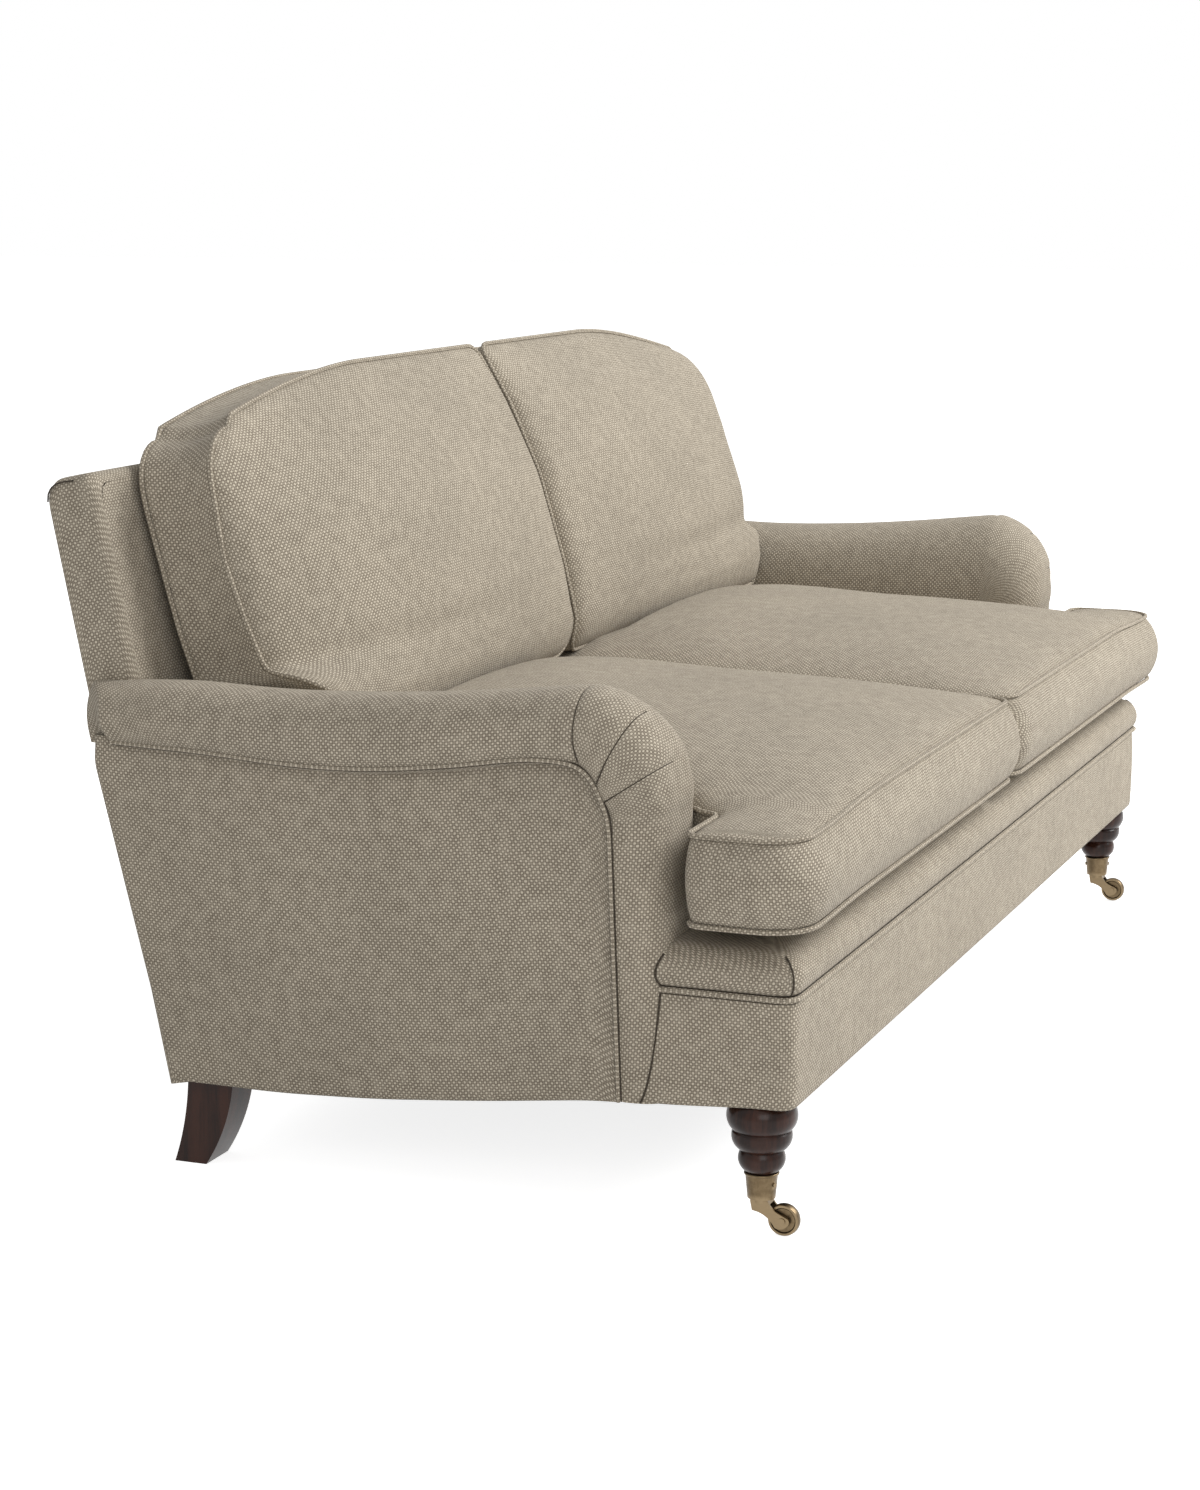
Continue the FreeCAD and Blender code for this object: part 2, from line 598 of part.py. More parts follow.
def seat_body(inset):
    bow = seat_front_bulge
    main = [seat_section(cushion_half_gap + inset, seat_rear_y, 14, 12, bow - 9, 1, inset),
            seat_section(75, seat_rear_y, 37, 25, bow, 2, inset),
            seat_section(seat_side / 2, seat_rear_y, 52, deep_crown, bow, 3, inset),
            seat_section(seat_side - 71, seat_rear_y, 44, 27, bow, 2, inset),
            seat_section(seat_side - inset, seat_rear_y, 22, 14, bow, 1, inset)]
    trim = 0.4
    ear = [seat_section(seat_side - inset, ear_rear_y, 9, 7, bow - trim, 8, inset + trim),
           seat_section((seat_side + ear_outer) / 2, ear_rear_y, 15, 12, bow, 14, inset + trim),
           seat_section(ear_outer - 10 - inset, ear_rear_y - 2, 11, 8, bow - 1, 12, inset + trim),
           seat_section(ear_outer - inset, ear_rear_y - 8, 5, 4, bow - 6, 8, inset + 6)]
    body = Part.makeLoft(main, True, False).fuse(Part.makeLoft(ear, True, True))
    return body.removeSplitter()


seat_hollow = seat_body(cover_cloth)
seat_core = seat_body(cover_cloth + cloth_gap).common(seat_hollow)
seat_cover = seat_body(0).cut(seat_hollow)

# Back cushion: sections across its width, in the raked back's own directions
rise = V(0, rake_sin, rake_cos)
forward = V(0, -rake_cos, rake_sin)
cushion_foot = V(0, rear_y(back_cushion_z) - back_depth / rake_cos, back_cushion_z)


def back_section(x, low, high, rear_seam, low_front, front_seam, crown, inset):
    def at(t, s):
        return V(-x, 0, 0) + cushion_foot + forward * t + rise * s

    rear = rear_seam + inset
    front = front_seam - inset
    low_front = low_front - inset
    bottom = low + inset
    top = high - inset
    crown_s = bottom + belly_share * (top - bottom)
    mid = (rear + low_front) / 2
    return Part.Wire([arc(at(rear, bottom + 9), at(mid, bottom), at(low_front, bottom + 12)),
                      arc(at(low_front, bottom + 12), at(crown - inset, crown_s), at(front, top - 9)),
                      arc(at(front, top - 9), at((rear + front) / 2, top), at(rear, top - 9)),
                      arc(at(rear, top - 9), at(rest_gap + inset, (top + bottom) / 2), at(rear, bottom + 9))])


def back_body(inset):
    tall = back_cushion_height
    main = [back_section(cushion_half_gap + inset, 1, tall - 12, 8, 158, 108, 170, inset),
            back_section(75, 1, tall - 2, 10, 165, 106, 196, inset),
            back_section(seat_side / 2, 1, tall - 2, 12, 165, 106, 205, inset),
            back_section(seat_side - 121, 1, tall - 22, 10, 165, 106, 202, inset),
            back_section(seat_side - inset, 1, tall - 52, 10, 158, 106, 182, inset)]
    ear_low = 106.0
    ear = [back_section(seat_side - inset, ear_low, tall - 53, 11, 160, 105, 172, inset),
           back_section(cushion_ear_outer - 10 - inset, ear_low, tall - 72, 11, 142, 104, 150, inset),
           back_section(cushion_ear_outer - inset, ear_low + 8, tall - 92, 16, 126, 96, 128, inset)]
    body = Part.makeLoft(main, True, False).fuse(Part.makeLoft(ear, True, False))
    return body.removeSplitter()


back_hollow = back_body(cover_cloth)
back_core = back_body(cover_cloth + cloth_gap).common(back_hollow)
back_cover = back_body(0).cut(back_hollow)

# Save every piece under its own name
save("front_rail", front_rail)
save("back_rail", back_rail)
save("seat_brace", brace)
save("corner_blocks", Part.makeCompound(corner_blocks))
save("back_top_rail", back_top_rail)
save("back_lower_rail", back_lower_rail)
save("leg_bolts", Part.makeCompound(leg_bolts))
save("seat_springs", Part.makeCompound(springs))
save("spring_clips", Part.makeCompound(clips))
save("spring_cloth", hessian)
save("seat_deck", seat_deck)
save("front_rail_cover", covers[0])
save("border_welt", covers[1])
save("front_border_roll", covers[2])
save("back_webbing", Part.makeCompound(straps))
save("inside_back_pad", inside_back)
save("back_border", back_border)
save("outside_back_panel", outside_panel)
save("dust_cover", dust_cover)
save("castor_cup_pins", Part.makeCompound(cup_pins + [mirrored(pin) for pin in cup_pins]))
pairs = {"side_rail": side_rail, "arm_post": arm_post, "arm_board": board, "back_post": back_post,
         "front_leg": front_leg, "castor_cup": castor_cup, "castor_horn": horn, "castor_axle": axle,
         "castor_wheel": wheel, "rear_leg": rear_leg, "arm_roll": arm_roll, "inside_arm": inside_arm,
         "outside_arm": outside_arm, "seat_cushion_cover": seat_cover, "seat_cushion_core": seat_core,
         "back_cushion_cover": back_cover, "back_cushion_core": back_core}
for name, left in pairs.items():
    save_pair(name, left)
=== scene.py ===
import math
import bmesh
import bpy
import numpy as np
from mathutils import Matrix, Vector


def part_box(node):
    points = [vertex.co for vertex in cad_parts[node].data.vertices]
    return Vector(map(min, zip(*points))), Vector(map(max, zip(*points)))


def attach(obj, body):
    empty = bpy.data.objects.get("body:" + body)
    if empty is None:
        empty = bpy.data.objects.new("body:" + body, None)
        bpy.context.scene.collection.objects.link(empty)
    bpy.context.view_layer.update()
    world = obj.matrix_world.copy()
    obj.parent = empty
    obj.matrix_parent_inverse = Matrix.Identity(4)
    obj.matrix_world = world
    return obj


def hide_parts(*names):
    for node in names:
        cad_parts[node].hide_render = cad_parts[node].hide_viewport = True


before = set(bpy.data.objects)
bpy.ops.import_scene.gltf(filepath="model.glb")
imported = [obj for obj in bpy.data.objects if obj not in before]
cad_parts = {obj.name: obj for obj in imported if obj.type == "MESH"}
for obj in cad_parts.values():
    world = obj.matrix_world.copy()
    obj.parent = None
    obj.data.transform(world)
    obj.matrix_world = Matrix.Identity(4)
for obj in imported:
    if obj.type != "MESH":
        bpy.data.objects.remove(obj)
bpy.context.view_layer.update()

# The photograph is taken from the sofa's left front corner, a little above the arms, with a long
# lens. The angles are measured from straight ahead (+Y) towards +X, and down from level.
view_turn = 68.896
view_drop = 10.494
eye_place = (-3.9995, -1.4117, 1.1564)
focal_pixels = 3150.0
photo_height = 1490.0
film_height = 36.0
camera_data = bpy.data.cameras.new("camera")
camera_data.sensor_width = film_height
camera_data.lens = focal_pixels / photo_height * film_height
camera = bpy.data.objects.new("camera", camera_data)
camera.location = eye_place
camera.rotation_euler = (math.radians(90 - view_drop), 0, math.radians(-view_turn))
bpy.context.scene.collection.objects.link(camera)
bpy.context.scene.camera = camera
bpy.context.scene.view_settings.view_transform = "Standard"

# The studio: a pale floor that runs out of sight, a white room, one large soft lamp in front and
# above, and a weaker one on the left, where the photographed sofa is about half as bright.
floor_reach = 30.0
floor_colour = (0.82, 0.82, 0.82, 1)
floor_lift = 0.80
room_light = 0.53
lamp_aim = (0, 0, 0.45)
lamp_places = {"front_lamp": ((2.5, -4.3, 4.3), 3.2, 405.0), "side_lamp": ((-5.0, -2.2, 2.3), 2.5, 58.0)}


def mesh_piece(name, points, faces):
    """A mesh object from points and faces, linked to the scene and shaded smooth."""
    mesh = bpy.data.meshes.new(name)
    mesh.from_pydata(points, [], faces)
    mesh.shade_smooth()
    piece = bpy.data.objects.new(name, mesh)
    bpy.context.scene.collection.objects.link(piece)
    return piece


def new_material(name):
    """An empty node material, with its nodes, its links and its output node."""
    material = bpy.data.materials.new(name)
    material.use_nodes = True
    nodes = material.node_tree.nodes
    nodes.clear()
    return material, nodes, material.node_tree.links, nodes.new("ShaderNodeOutputMaterial")


def white_to_camera(nodes, links, plain, bright):
    """Mixes two shaders: the bright one for what the camera sees directly, in metal or through glass."""
    path = nodes.new("ShaderNodeLightPath")
    straight = nodes.new("ShaderNodeMath")
    straight.operation = "MAXIMUM"
    links.new(path.outputs["Is Camera Ray"], straight.inputs[0])
    links.new(path.outputs["Is Glossy Ray"], straight.inputs[1])
    seen = nodes.new("ShaderNodeMath")
    seen.operation = "MAXIMUM"
    links.new(straight.outputs[0], seen.inputs[0])
    links.new(path.outputs["Is Transmission Ray"], seen.inputs[1])
    mix = nodes.new("ShaderNodeMixShader")
    links.new(seen.outputs[0], mix.inputs[0])
    links.new(plain.outputs[0], mix.inputs[1])
    links.new(bright.outputs[0], mix.inputs[2])
    return mix


floor_corners = [(x * floor_reach, y * floor_reach, 0) for x, y in ((-1, -1), (1, -1), (1, 1), (-1, 1))]
floor = mesh_piece("floor", floor_corners, [(0, 1, 2, 3)])
material, nodes, links, output = new_material("studio_floor")
matte = nodes.new("ShaderNodeBsdfDiffuse")
matte.inputs["Color"].default_value = floor_colour
glow = nodes.new("ShaderNodeEmission")
glow.inputs["Strength"].default_value = floor_lift
lifted = nodes.new("ShaderNodeAddShader")
links.new(matte.outputs[0], lifted.inputs[0])
links.new(glow.outputs[0], lifted.inputs[1])
links.new(white_to_camera(nodes, links, matte, lifted).outputs[0], output.inputs["Surface"])
floor.data.materials.append(material)

world = bpy.data.worlds.new("studio")
world.use_nodes = True
bpy.context.scene.world = world
nodes, links = world.node_tree.nodes, world.node_tree.links
nodes.clear()
room = nodes.new("ShaderNodeBackground")
room.inputs["Color"].default_value = (1, 1, 1, 1)
room.inputs["Strength"].default_value = room_light
backdrop = nodes.new("ShaderNodeBackground")
backdrop.inputs["Color"].default_value = (1, 1, 1, 1)
backdrop.inputs["Strength"].default_value = 1.0
output = nodes.new("ShaderNodeOutputWorld")
links.new(white_to_camera(nodes, links, room, backdrop).outputs[0], output.inputs["Surface"])
for name, (place, width, power) in lamp_places.items():
    lamp_data = bpy.data.lights.new(name, "AREA")
    lamp_data.size = width
    lamp_data.energy = power
    lamp = bpy.data.objects.new(name, lamp_data)
    lamp.location = place
    aim = Vector(lamp_aim) - lamp.location
    lamp.rotation_euler = aim.to_track_quat("-Z", "Y").to_euler()
    bpy.context.scene.collection.objects.link(lamp)

# The cover cloth of the whole sofa: a coarse hopsack of thick, slightly uneven yarns. Pale warp
# floats stand up as small ovals in a chequer over a darker taupe weft. It is cut in flat panels,
# so each panel carries its own lengthwise and crosswise measure, in metres.
yarn_step = 0.0032
cloth_pale = (0.575, 0.512, 0.408, 1)
cloth_ground = (0.185, 0.154, 0.116, 1)


class NodeMaker:
    """Adds nodes to one tree and joins them, so that a material reads as a list of steps."""

    def __init__(self, tree):
        self.nodes = tree.nodes
        self.links = tree.links

    def feed(self, node, key, value):
        if isinstance(value, bpy.types.NodeSocket):
            self.links.new(value, node.inputs[key])
        else:
            node.inputs[key].default_value = value

    def math(self, operation, a, b=0.0, c=0.0, clamp=False):
        node = self.nodes.new("ShaderNodeMath")
        node.operation = operation
        node.use_clamp = clamp
        for key, value in enumerate((a, b, c)):
            self.feed(node, key, value)
        return node.outputs[0]

    def noise(self, vector, scale, detail=2.0, roughness=0.5):
        node = self.nodes.new("ShaderNodeTexNoise")
        self.feed(node, "Vector", vector)
        self.feed(node, "Scale", scale)
        self.feed(node, "Detail", detail)
        self.feed(node, "Roughness", roughness)
        return node.outputs["Fac"]

    def span(self, value, low, high, new_low=0.0, new_high=1.0):
        node = self.nodes.new("ShaderNodeMapRange")
        node.interpolation_type = "SMOOTHSTEP"
        for key, part in enumerate((value, low, high, new_low, new_high)):
            self.feed(node, key, part)
        return node.outputs[0]

    def mix(self, share, a, b):
        node = self.nodes.new("ShaderNodeMix")
        node.data_type = "RGBA"
        self.feed(node, "Factor", share)
        self.feed(node, 6, a)
        self.feed(node, 7, b)
        return node.outputs[2]

    def tint(self, colour, amount):
        """A colour made lighter or darker by a number round 1."""
        node = self.nodes.new("ShaderNodeVectorMath")
        node.operation = "SCALE"
        self.feed(node, 0, colour)
        self.feed(node, "Scale", amount)
        return node.outputs[0]

    def surface(self, output, colour, rough, height=None, strength=0.0, depth=0.0):
        """A Principled shader with a colour, a roughness and a relief, joined to the output."""
        shader = self.nodes.new("ShaderNodeBsdfPrincipled")
        self.feed(shader, "Base Color", colour)
        self.feed(shader, "Roughness", rough)
        if height is not None:
            bump = self.nodes.new("ShaderNodeBump")
            bump.inputs["Strength"].default_value = strength
            bump.inputs["Distance"].default_value = depth
            self.links.new(height, bump.inputs["Height"])
            self.links.new(bump.outputs[0], shader.inputs["Normal"])
        self.links.new(shader.outputs[0], output.inputs["Surface"])
        return shader


def new_group(name, inputs, outputs):
    """A shader node group with named sockets. Inputs and outputs are (name, kind, default) rows."""
    group = bpy.data.node_groups.new(name, "ShaderNodeTree")
    for label, kind, value in inputs:
        socket = group.interface.new_socket(label, in_out="INPUT", socket_type="NodeSocket" + kind)
        if value is not None:
            socket.default_value = value
    for label, kind in outputs:
        group.interface.new_socket(label, in_out="OUTPUT", socket_type="NodeSocket" + kind)
    start = group.nodes.new("NodeGroupInput")
    end = group.nodes.new("NodeGroupOutput")
    return group, NodeMaker(group), start.outputs, end


hopsack, make, given, end = new_group(
    "hopsack", [("Panel", "Vector", None), ("Step", "Float", yarn_step), ("Pale", "Color", cloth_pale),
                ("Ground", "Color", cloth_ground)], [("Color", "Color"), ("Height", "Float")])
scaled = make.nodes.new("ShaderNodeVectorMath")
scaled.operation = "SCALE"
make.links.new(given["Panel"], scaled.inputs[0])
make.feed(scaled, "Scale", make.math("DIVIDE", 1.0, given["Step"]))
wander_u = make.math("MULTIPLY", make.math("SUBTRACT", make.noise(scaled.outputs[0], 0.33), 0.5), 1.1)
wander_v = make.math("MULTIPLY", make.math("SUBTRACT", make.noise(scaled.outputs[0], 0.29), 0.5), 1.0)
parts = make.nodes.new("ShaderNodeSeparateXYZ")
make.links.new(scaled.outputs[0], parts.inputs[0])
across = make.math("ADD", parts.outputs[0], wander_u)
along = make.math("ADD", parts.outputs[1], wander_v)


def hump(value):
    """0 at the edges of each yarn step and 1 in its middle."""
    centred = make.math("SUBTRACT", make.math("MULTIPLY", make.math("FRACT", value), 2.0), 1.0)
    return make.math("SUBTRACT", 1.0, make.math("MULTIPLY", centred, centred))


steps = make.math("ADD", make.math("FLOOR", across), make.math("FLOOR", along))
weft_on_top = make.math("FLOORED_MODULO", steps, 2.0)
bead = make.math("MULTIPLY", hump(across), hump(along))
crest = make.span(bead, 0.03, 0.62)
fibre = make.noise(scaled.outputs[0], 3.1, 3.0, 0.7)
slub = make.noise(scaled.outputs[0], 0.21, 2.0)
lit = make.math("MULTIPLY", crest, make.math("SUBTRACT", 1.0, make.math("MULTIPLY", weft_on_top, 0.70)))
lit = make.math("ADD", lit, make.math("MULTIPLY", make.math("SUBTRACT", slub, 0.5), 0.55), clamp=True)
woven = make.mix(lit, given["Ground"], given["Pale"])
patchy = make.span(make.noise(scaled.outputs[0], 0.022, 3.0), 0.3, 0.7, 0.955, 1.045)
grain = make.math("ADD", make.math("MULTIPLY", fibre, 0.34), 0.83)
make.links.new(make.tint(make.tint(woven, grain), patchy), end.inputs["Color"])
raised = make.math("MULTIPLY", crest, make.math("SUBTRACT", 1.0, make.math("MULTIPLY", weft_on_top, 0.45)))
make.links.new(make.math("ADD", raised, make.math("MULTIPLY", fibre, 0.25)), end.inputs["Height"])


def cloth_material(name, step, pale, ground, relief):
    """Hopsack on a panel's own measure, with a soft matte nap."""
    material, nodes, links, output = new_material(name)
    panel = nodes.new("ShaderNodeUVMap")
    weave = nodes.new("ShaderNodeGroup")
    weave.node_tree = hopsack
    links.new(panel.outputs[0], weave.inputs["Panel"])
    weave.inputs["Step"].default_value = step
    weave.inputs["Pale"].default_value = pale
    weave.inputs["Ground"].default_value = ground
    shader = NodeMaker(material.node_tree).surface(output, weave.outputs["Color"], 0.92,
                                                   weave.outputs["Height"], relief, step * 0.35)
    shader.inputs["Specular IOR Level"].default_value = 0.12
    shader.inputs["Sheen Weight"].default_value = 0.08
    shader.inputs["Sheen Roughness"].default_value = 0.5
    return material


cloth = cloth_material("hopsack_cloth", yarn_step, cloth_pale, cloth_ground, 0.5)


def sew(name, panels, material=cloth, smooth=1):
    """Joins panels along the edges that they share. A panel is (points, measure, kept cells or None)."""
    points, faces, measures = [], [], []
    for grid, measure, kept in panels:
        rows, columns = grid.shape[:2]
        first = len(points)
        points.extend(grid.reshape(-1, 3).tolist())
        flat = measure.reshape(-1, 2)
        for i in range(rows - 1):
            for j in range(columns - 1):
                if kept is None or kept[i, j]:
                    corners = [i * columns + j, i * columns + j + 1, (i + 1) * columns + j + 1, (i + 1) * columns + j]
                    faces.append([first + k for k in corners])
                    measures.extend(flat[corners].tolist())
    piece = mesh_piece(name, points, faces)
    layer = piece.data.uv_layers.new(name="UVMap")
    layer.data.foreach_set("uv", np.array(measures, np.float32).ravel())
    work = bmesh.new()
    work.from_mesh(piece.data)
    bmesh.ops.delete(work, geom=[v for v in work.verts if not v.link_faces], context="VERTS")
    bmesh.ops.remove_doubles(work, verts=work.verts, dist=0.00002)
    bmesh.ops.recalc_face_normals(work, faces=work.faces)
    work.to_mesh(piece.data)
    work.free()
    piece.data.shade_smooth()
    piece.data.materials.append(material)
    if smooth:
        rounding = piece.modifiers.new("rounding", "SUBSURF")
        rounding.levels = smooth
        rounding.render_levels = smooth
    return piece


def run_lengths(points):
    """How far along a row of points each point lies."""
    gaps = np.linalg.norm(np.diff(points, axis=0), axis=1)
    return np.concatenate([[0], np.cumsum(gaps)])


def grid_measure(grid):
    """A panel's own measure: how far each point lies along its row and its column, from the panel's middle."""
    along = np.cumsum(np.linalg.norm(np.diff(grid, axis=1, prepend=grid[:, :1]), axis=2), axis=1)
    across = np.cumsum(np.linalg.norm(np.diff(grid, axis=0, prepend=grid[:1]), axis=2), axis=0)
    return np.stack([along - along[:, [grid.shape[1] // 2]], across - across[[grid.shape[0] // 2]]], axis=2)


def soft_step(value, low, high):
    """0 below low, 1 above high and smooth between them."""
    t = np.clip((np.asarray(value, float) - low) / (high - low), 0, 1)
    return t * t * (3 - 2 * t)


def place(piece, body, *solids, fill=None, slot="cloth"):
    """Puts a piece on its body, in place of the solids that it stands for."""
    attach(piece, body)
    if solids:
        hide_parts(*solids)
    return piece


# Cord: a bias strip of the same cloth sewn round a string. It finishes most of the seams, so
# every section below uses it. The strip is a round tube whose weave runs along it.
cord_radius = 0.0030
cord_sides = 10


def cord(name, path, radius=cord_radius, closed=False, material=cloth):
    """A tube round a row of points, with its frame carried along without twist."""
    path = np.asarray(path, float)
    if closed:
        ahead, behind = np.roll(path, -1, axis=0), np.roll(path, 1, axis=0)
    else:
        ahead = np.vstack([path[1:], path[-1:]])
        behind = np.vstack([path[:1], path[:-1]])
    forward = ahead - behind
    forward /= np.linalg.norm(forward, axis=1)[:, None]
    side = np.cross(forward[0], (0.31, 0.2, 0.93))
    rings = []
    for k, direction in enumerate(forward):
        side = side - direction * side.dot(direction)
        side = side / np.linalg.norm(side)
        other = np.cross(direction, side)
        turn = np.linspace(0, 2 * math.pi, cord_sides + 1)
        rings.append(path[k] + radius * (np.cos(turn)[:, None] * side + np.sin(turn)[:, None] * other))
    if closed:
        rings.append(rings[0])
    grid = np.array(rings)
    measure = np.stack(np.broadcast_arrays(np.linspace(0, 2 * math.pi * radius, cord_sides + 1)[None, :],
                                           run_lengths(grid[:, 0])[:, None]), axis=2)
    return sew(name, [(grid, measure, None)], material, smooth=0)


def evenly(points, gap):
    """The same run of points, spaced evenly."""
    points = np.asarray(points, float)
    reach = run_lengths(points)
    count = max(2, int(round(reach[-1] / gap)) + 1)
    marks = np.linspace(0, reach[-1], count)
    return np.stack([np.interp(marks, reach, points[:, k]) for k in range(points.shape[1])], axis=1)


def rounded_run(corners, radius, gap):
    """A run of straight stretches in a plane, with each inner corner turned on an arc."""
    corners = [np.array(c, float) for c in corners]
    points = [corners[0]]
    for before, corner, after in zip(corners[:-2], corners[1:-1], corners[2:]):
        back = (before - corner) / np.linalg.norm(before - corner)
        on = (after - corner) / np.linalg.norm(after - corner)
        half = math.acos(np.clip(back.dot(on), -1, 1)) / 2
        reach = radius / math.tan(half)
        middle = corner + (back + on) / np.linalg.norm(back + on) * radius / math.sin(half)
        first, last = corner + back * reach - middle, corner + on * reach - middle
        sweep = math.pi - 2 * half
        for share in np.linspace(0, 1, 9):
            a = math.sin((1 - share) * sweep) / math.sin(sweep)
            b = math.sin(share * sweep) / math.sin(sweep)
            points.append(middle + a * first + b * last)
    points.append(corners[-1])
    return evenly(points, gap)


# The back: a raked timber frame under thin padding. Its sides and top are one boxed border that
# turns softly into the inside back, and the outside back is a flat panel down to the floor rail.
# Depth is measured forwards from the rear face, square to it.
back_foot_y = 0.3329
back_foot_z = 0.460
rake = math.atan(0.207)
back_forward = np.array([0, -math.cos(rake), math.sin(rake)])
back_up = np.array([0, math.sin(rake), math.cos(rake)])
rear_foot = np.array([0, back_foot_y, back_foot_z]) - 0.065 * back_forward
back_side = 0.888
back_top = 0.3590
back_bottom = -0.352
back_depth = 0.0645
front_round = 0.014
rear_round = 0.004
top_round = 0.019
side_depths = (0.034, 0.027)
back_corner = 0.010
back_gap = 0.011


def on_back(x, depth, height):
    """Points on the raked back from x, depth from the rear face and height above the cushions' foot."""
    x, depth, height = np.broadcast_arrays(x, depth, height)
    return rear_foot + x[..., None] * (1, 0, 0) + depth[..., None] * back_forward + height[..., None] * back_up


def flat_edge(side_inset, top_inset, low):
    """The border's outline, pulled in by its insets: up the left side, across the top and down."""
    x, top = back_side - side_inset, back_top - top_inset
    return rounded_run([(-x, low), (-x, top), (x, top), (x, low)], back_corner, back_gap)


turn = np.linspace(0, math.pi / 2, 7)
profile = []
for a in turn:
    inset = front_round * (1 - math.sin(a))
    profile.append((inset, inset, back_depth - front_round * (1 - math.cos(a))))
profile += [(0, 0, depth) for depth in side_depths]
for a in turn:
    depth = top_round * (1 - math.sin(a))
    side = max(0.0, rear_round - depth)
    profile.append((rear_round - math.sqrt(rear_round ** 2 - side ** 2), top_round * (1 - math.cos(a)), depth))
marks = np.linspace(0, 1, len(flat_edge(0, 0, back_bottom)))
rows = []
for side_inset, top_inset, depth in profile:
    edge = flat_edge(side_inset, top_inset, back_bottom)
    share = run_lengths(edge) / run_lengths(edge)[-1]
    rows.append(on_back(np.interp(marks, share, edge[:, 0]), np.array(depth), np.interp(marks, share, edge[:, 1])))
border = np.array(rows)
across = np.linspace(-1, 1, 60)
upward = np.linspace(0, 1, 24)


def back_face(side_inset, top_inset, depth, swell):
    """A flat face of the back, swelling a little in its middle."""
    x = across[None, :] * (back_side - side_inset)
    height = back_bottom + upward[:, None] * (back_top - top_inset - back_bottom)
    bulge = swell * (1 - across[None, :] ** 2) * (1 - (2 * upward[:, None] - 1) ** 2)
    return on_back(x, depth + bulge, height)


inside_back = back_face(front_round, front_round, back_depth, 0.0)
outside_back = back_face(rear_round, top_round, 0.0, -0.001)
back_cover = sew("back_cover", [(border, grid_measure(border), None), (inside_back, grid_measure(inside_back), None),
                                (outside_back, grid_measure(outside_back), None)])
place(back_cover, "sofa", "back_border", "inside_back_pad", "outside_back_panel", fill=0.9)

# The spare cloth at each top corner of the back is folded under, which leaves one short open edge
# just below the top. Here and along the other seams the cloth dips between its edges, and the shade in
# the dip is painted: a thin tube of near-black hopsack is laid along it.
shade_pale = (0.085, 0.070, 0.052, 1)
shade_ground = (0.045, 0.036, 0.027, 1)
shade = cloth_material("seam_shade", yarn_step, shade_pale, shade_ground, 0.2)
pleat_run = ((0.0015, 0.024), (0.004, 0.0155), (0.009, 0.0095), (0.016, 0.006), (0.026, 0.005), (0.040, 0.006))
for side, label in ((-1, "left"), (1, "right")):
    fold = []
    for depth, drop in pleat_run:
        fold.append(on_back(np.array(side * (back_side + 0.0002)), np.array(depth), np.array(back_top - drop)))
    place(cord("back_pleat_painted_shade_" + label, evenly(fold, 0.003), 0.0010, material=shade), "sofa")

# Front of the base: cloth pulled over the front rail, round both corners and back to the arms,
# with one cord above it. The border roll on top is a firm stuffed edge that the cushions lie on.
base_side = 0.890
base_front = -0.433
base_return = -0.262
base_corner = 0.017
rail_low = 0.150
welt_level = 0.275
roll_top = 0.3265
roll_front = 0.0066
roll_corner = 0.022
mitre_reach = 0.07
mitre_dip = 0.0035
mitre_width = 0.004


def base_run(inset, corner):
    """The base's outline seen from above, from the left arm round the front to the right arm."""
    x, y = base_side - inset, base_front + inset
    return rounded_run([(-x, base_return), (-x, y), (x, y), (x, base_return)], corner, 0.009)


plan = base_run(0, base_corner)
plan_share = run_lengths(plan) / run_lengths(plan)[-1]


def base_band(profile, corner):
    """A band round the base. The profile rows are (how far out, height)."""
    made = []
    for out, height in profile:
        edge = base_run(-out, max(corner + min(out, 0), 0.004))
        share = run_lengths(edge) / run_lengths(edge)[-1]
        flat = np.stack([np.interp(plan_share, share, edge[:, k]) for k in range(2)], axis=1)
        made.append(np.column_stack([flat, np.full(len(flat), height)]))
    return np.array(made)


rail_profile = [(-0.020, rail_low + 0.0006), (-0.008, rail_low), (-0.003, rail_low + 0.0008),
                (-0.0004, rail_low + 0.0035), (0.0, rail_low + 0.009)]
rail_profile += [(0.0012 * math.sin(math.pi * k / 9), rail_low + 0.009 + k * 0.0125) for k in range(1, 9)]
rail_profile += [(0.0, welt_level - 0.0075), (-0.0012, welt_level - 0.0035), (-0.004, welt_level - 0.001)]
rail = base_band(rail_profile, base_corner)
sink = soft_step(rail[:, :, 1], base_front + 0.02, base_return) * 0.007
rail[:, :, 2] -= sink * (1 - soft_step(rail[:, :, 2], rail_low, rail_low + 0.06))
place(sew("base_cover", [(rail, grid_measure(rail), None)]), "sofa", "front_rail_cover", fill=0.95)

welt_run = base_run(-0.0016, base_corner)
welt_path = np.column_stack([welt_run, np.full(len(welt_run), welt_level)])
place(cord("base_cord", welt_path, 0.0034), "sofa", "border_welt")
for label, level in (("above", 0.0040), ("below", -0.0042)):
    shade_run = base_run(0.0012, base_corner)
    shade_path = np.column_stack([shade_run, np.full(len(shade_run), welt_level + level)])
    place(cord("base_shade_" + label, shade_path, 0.0013, material=shade), "sofa")

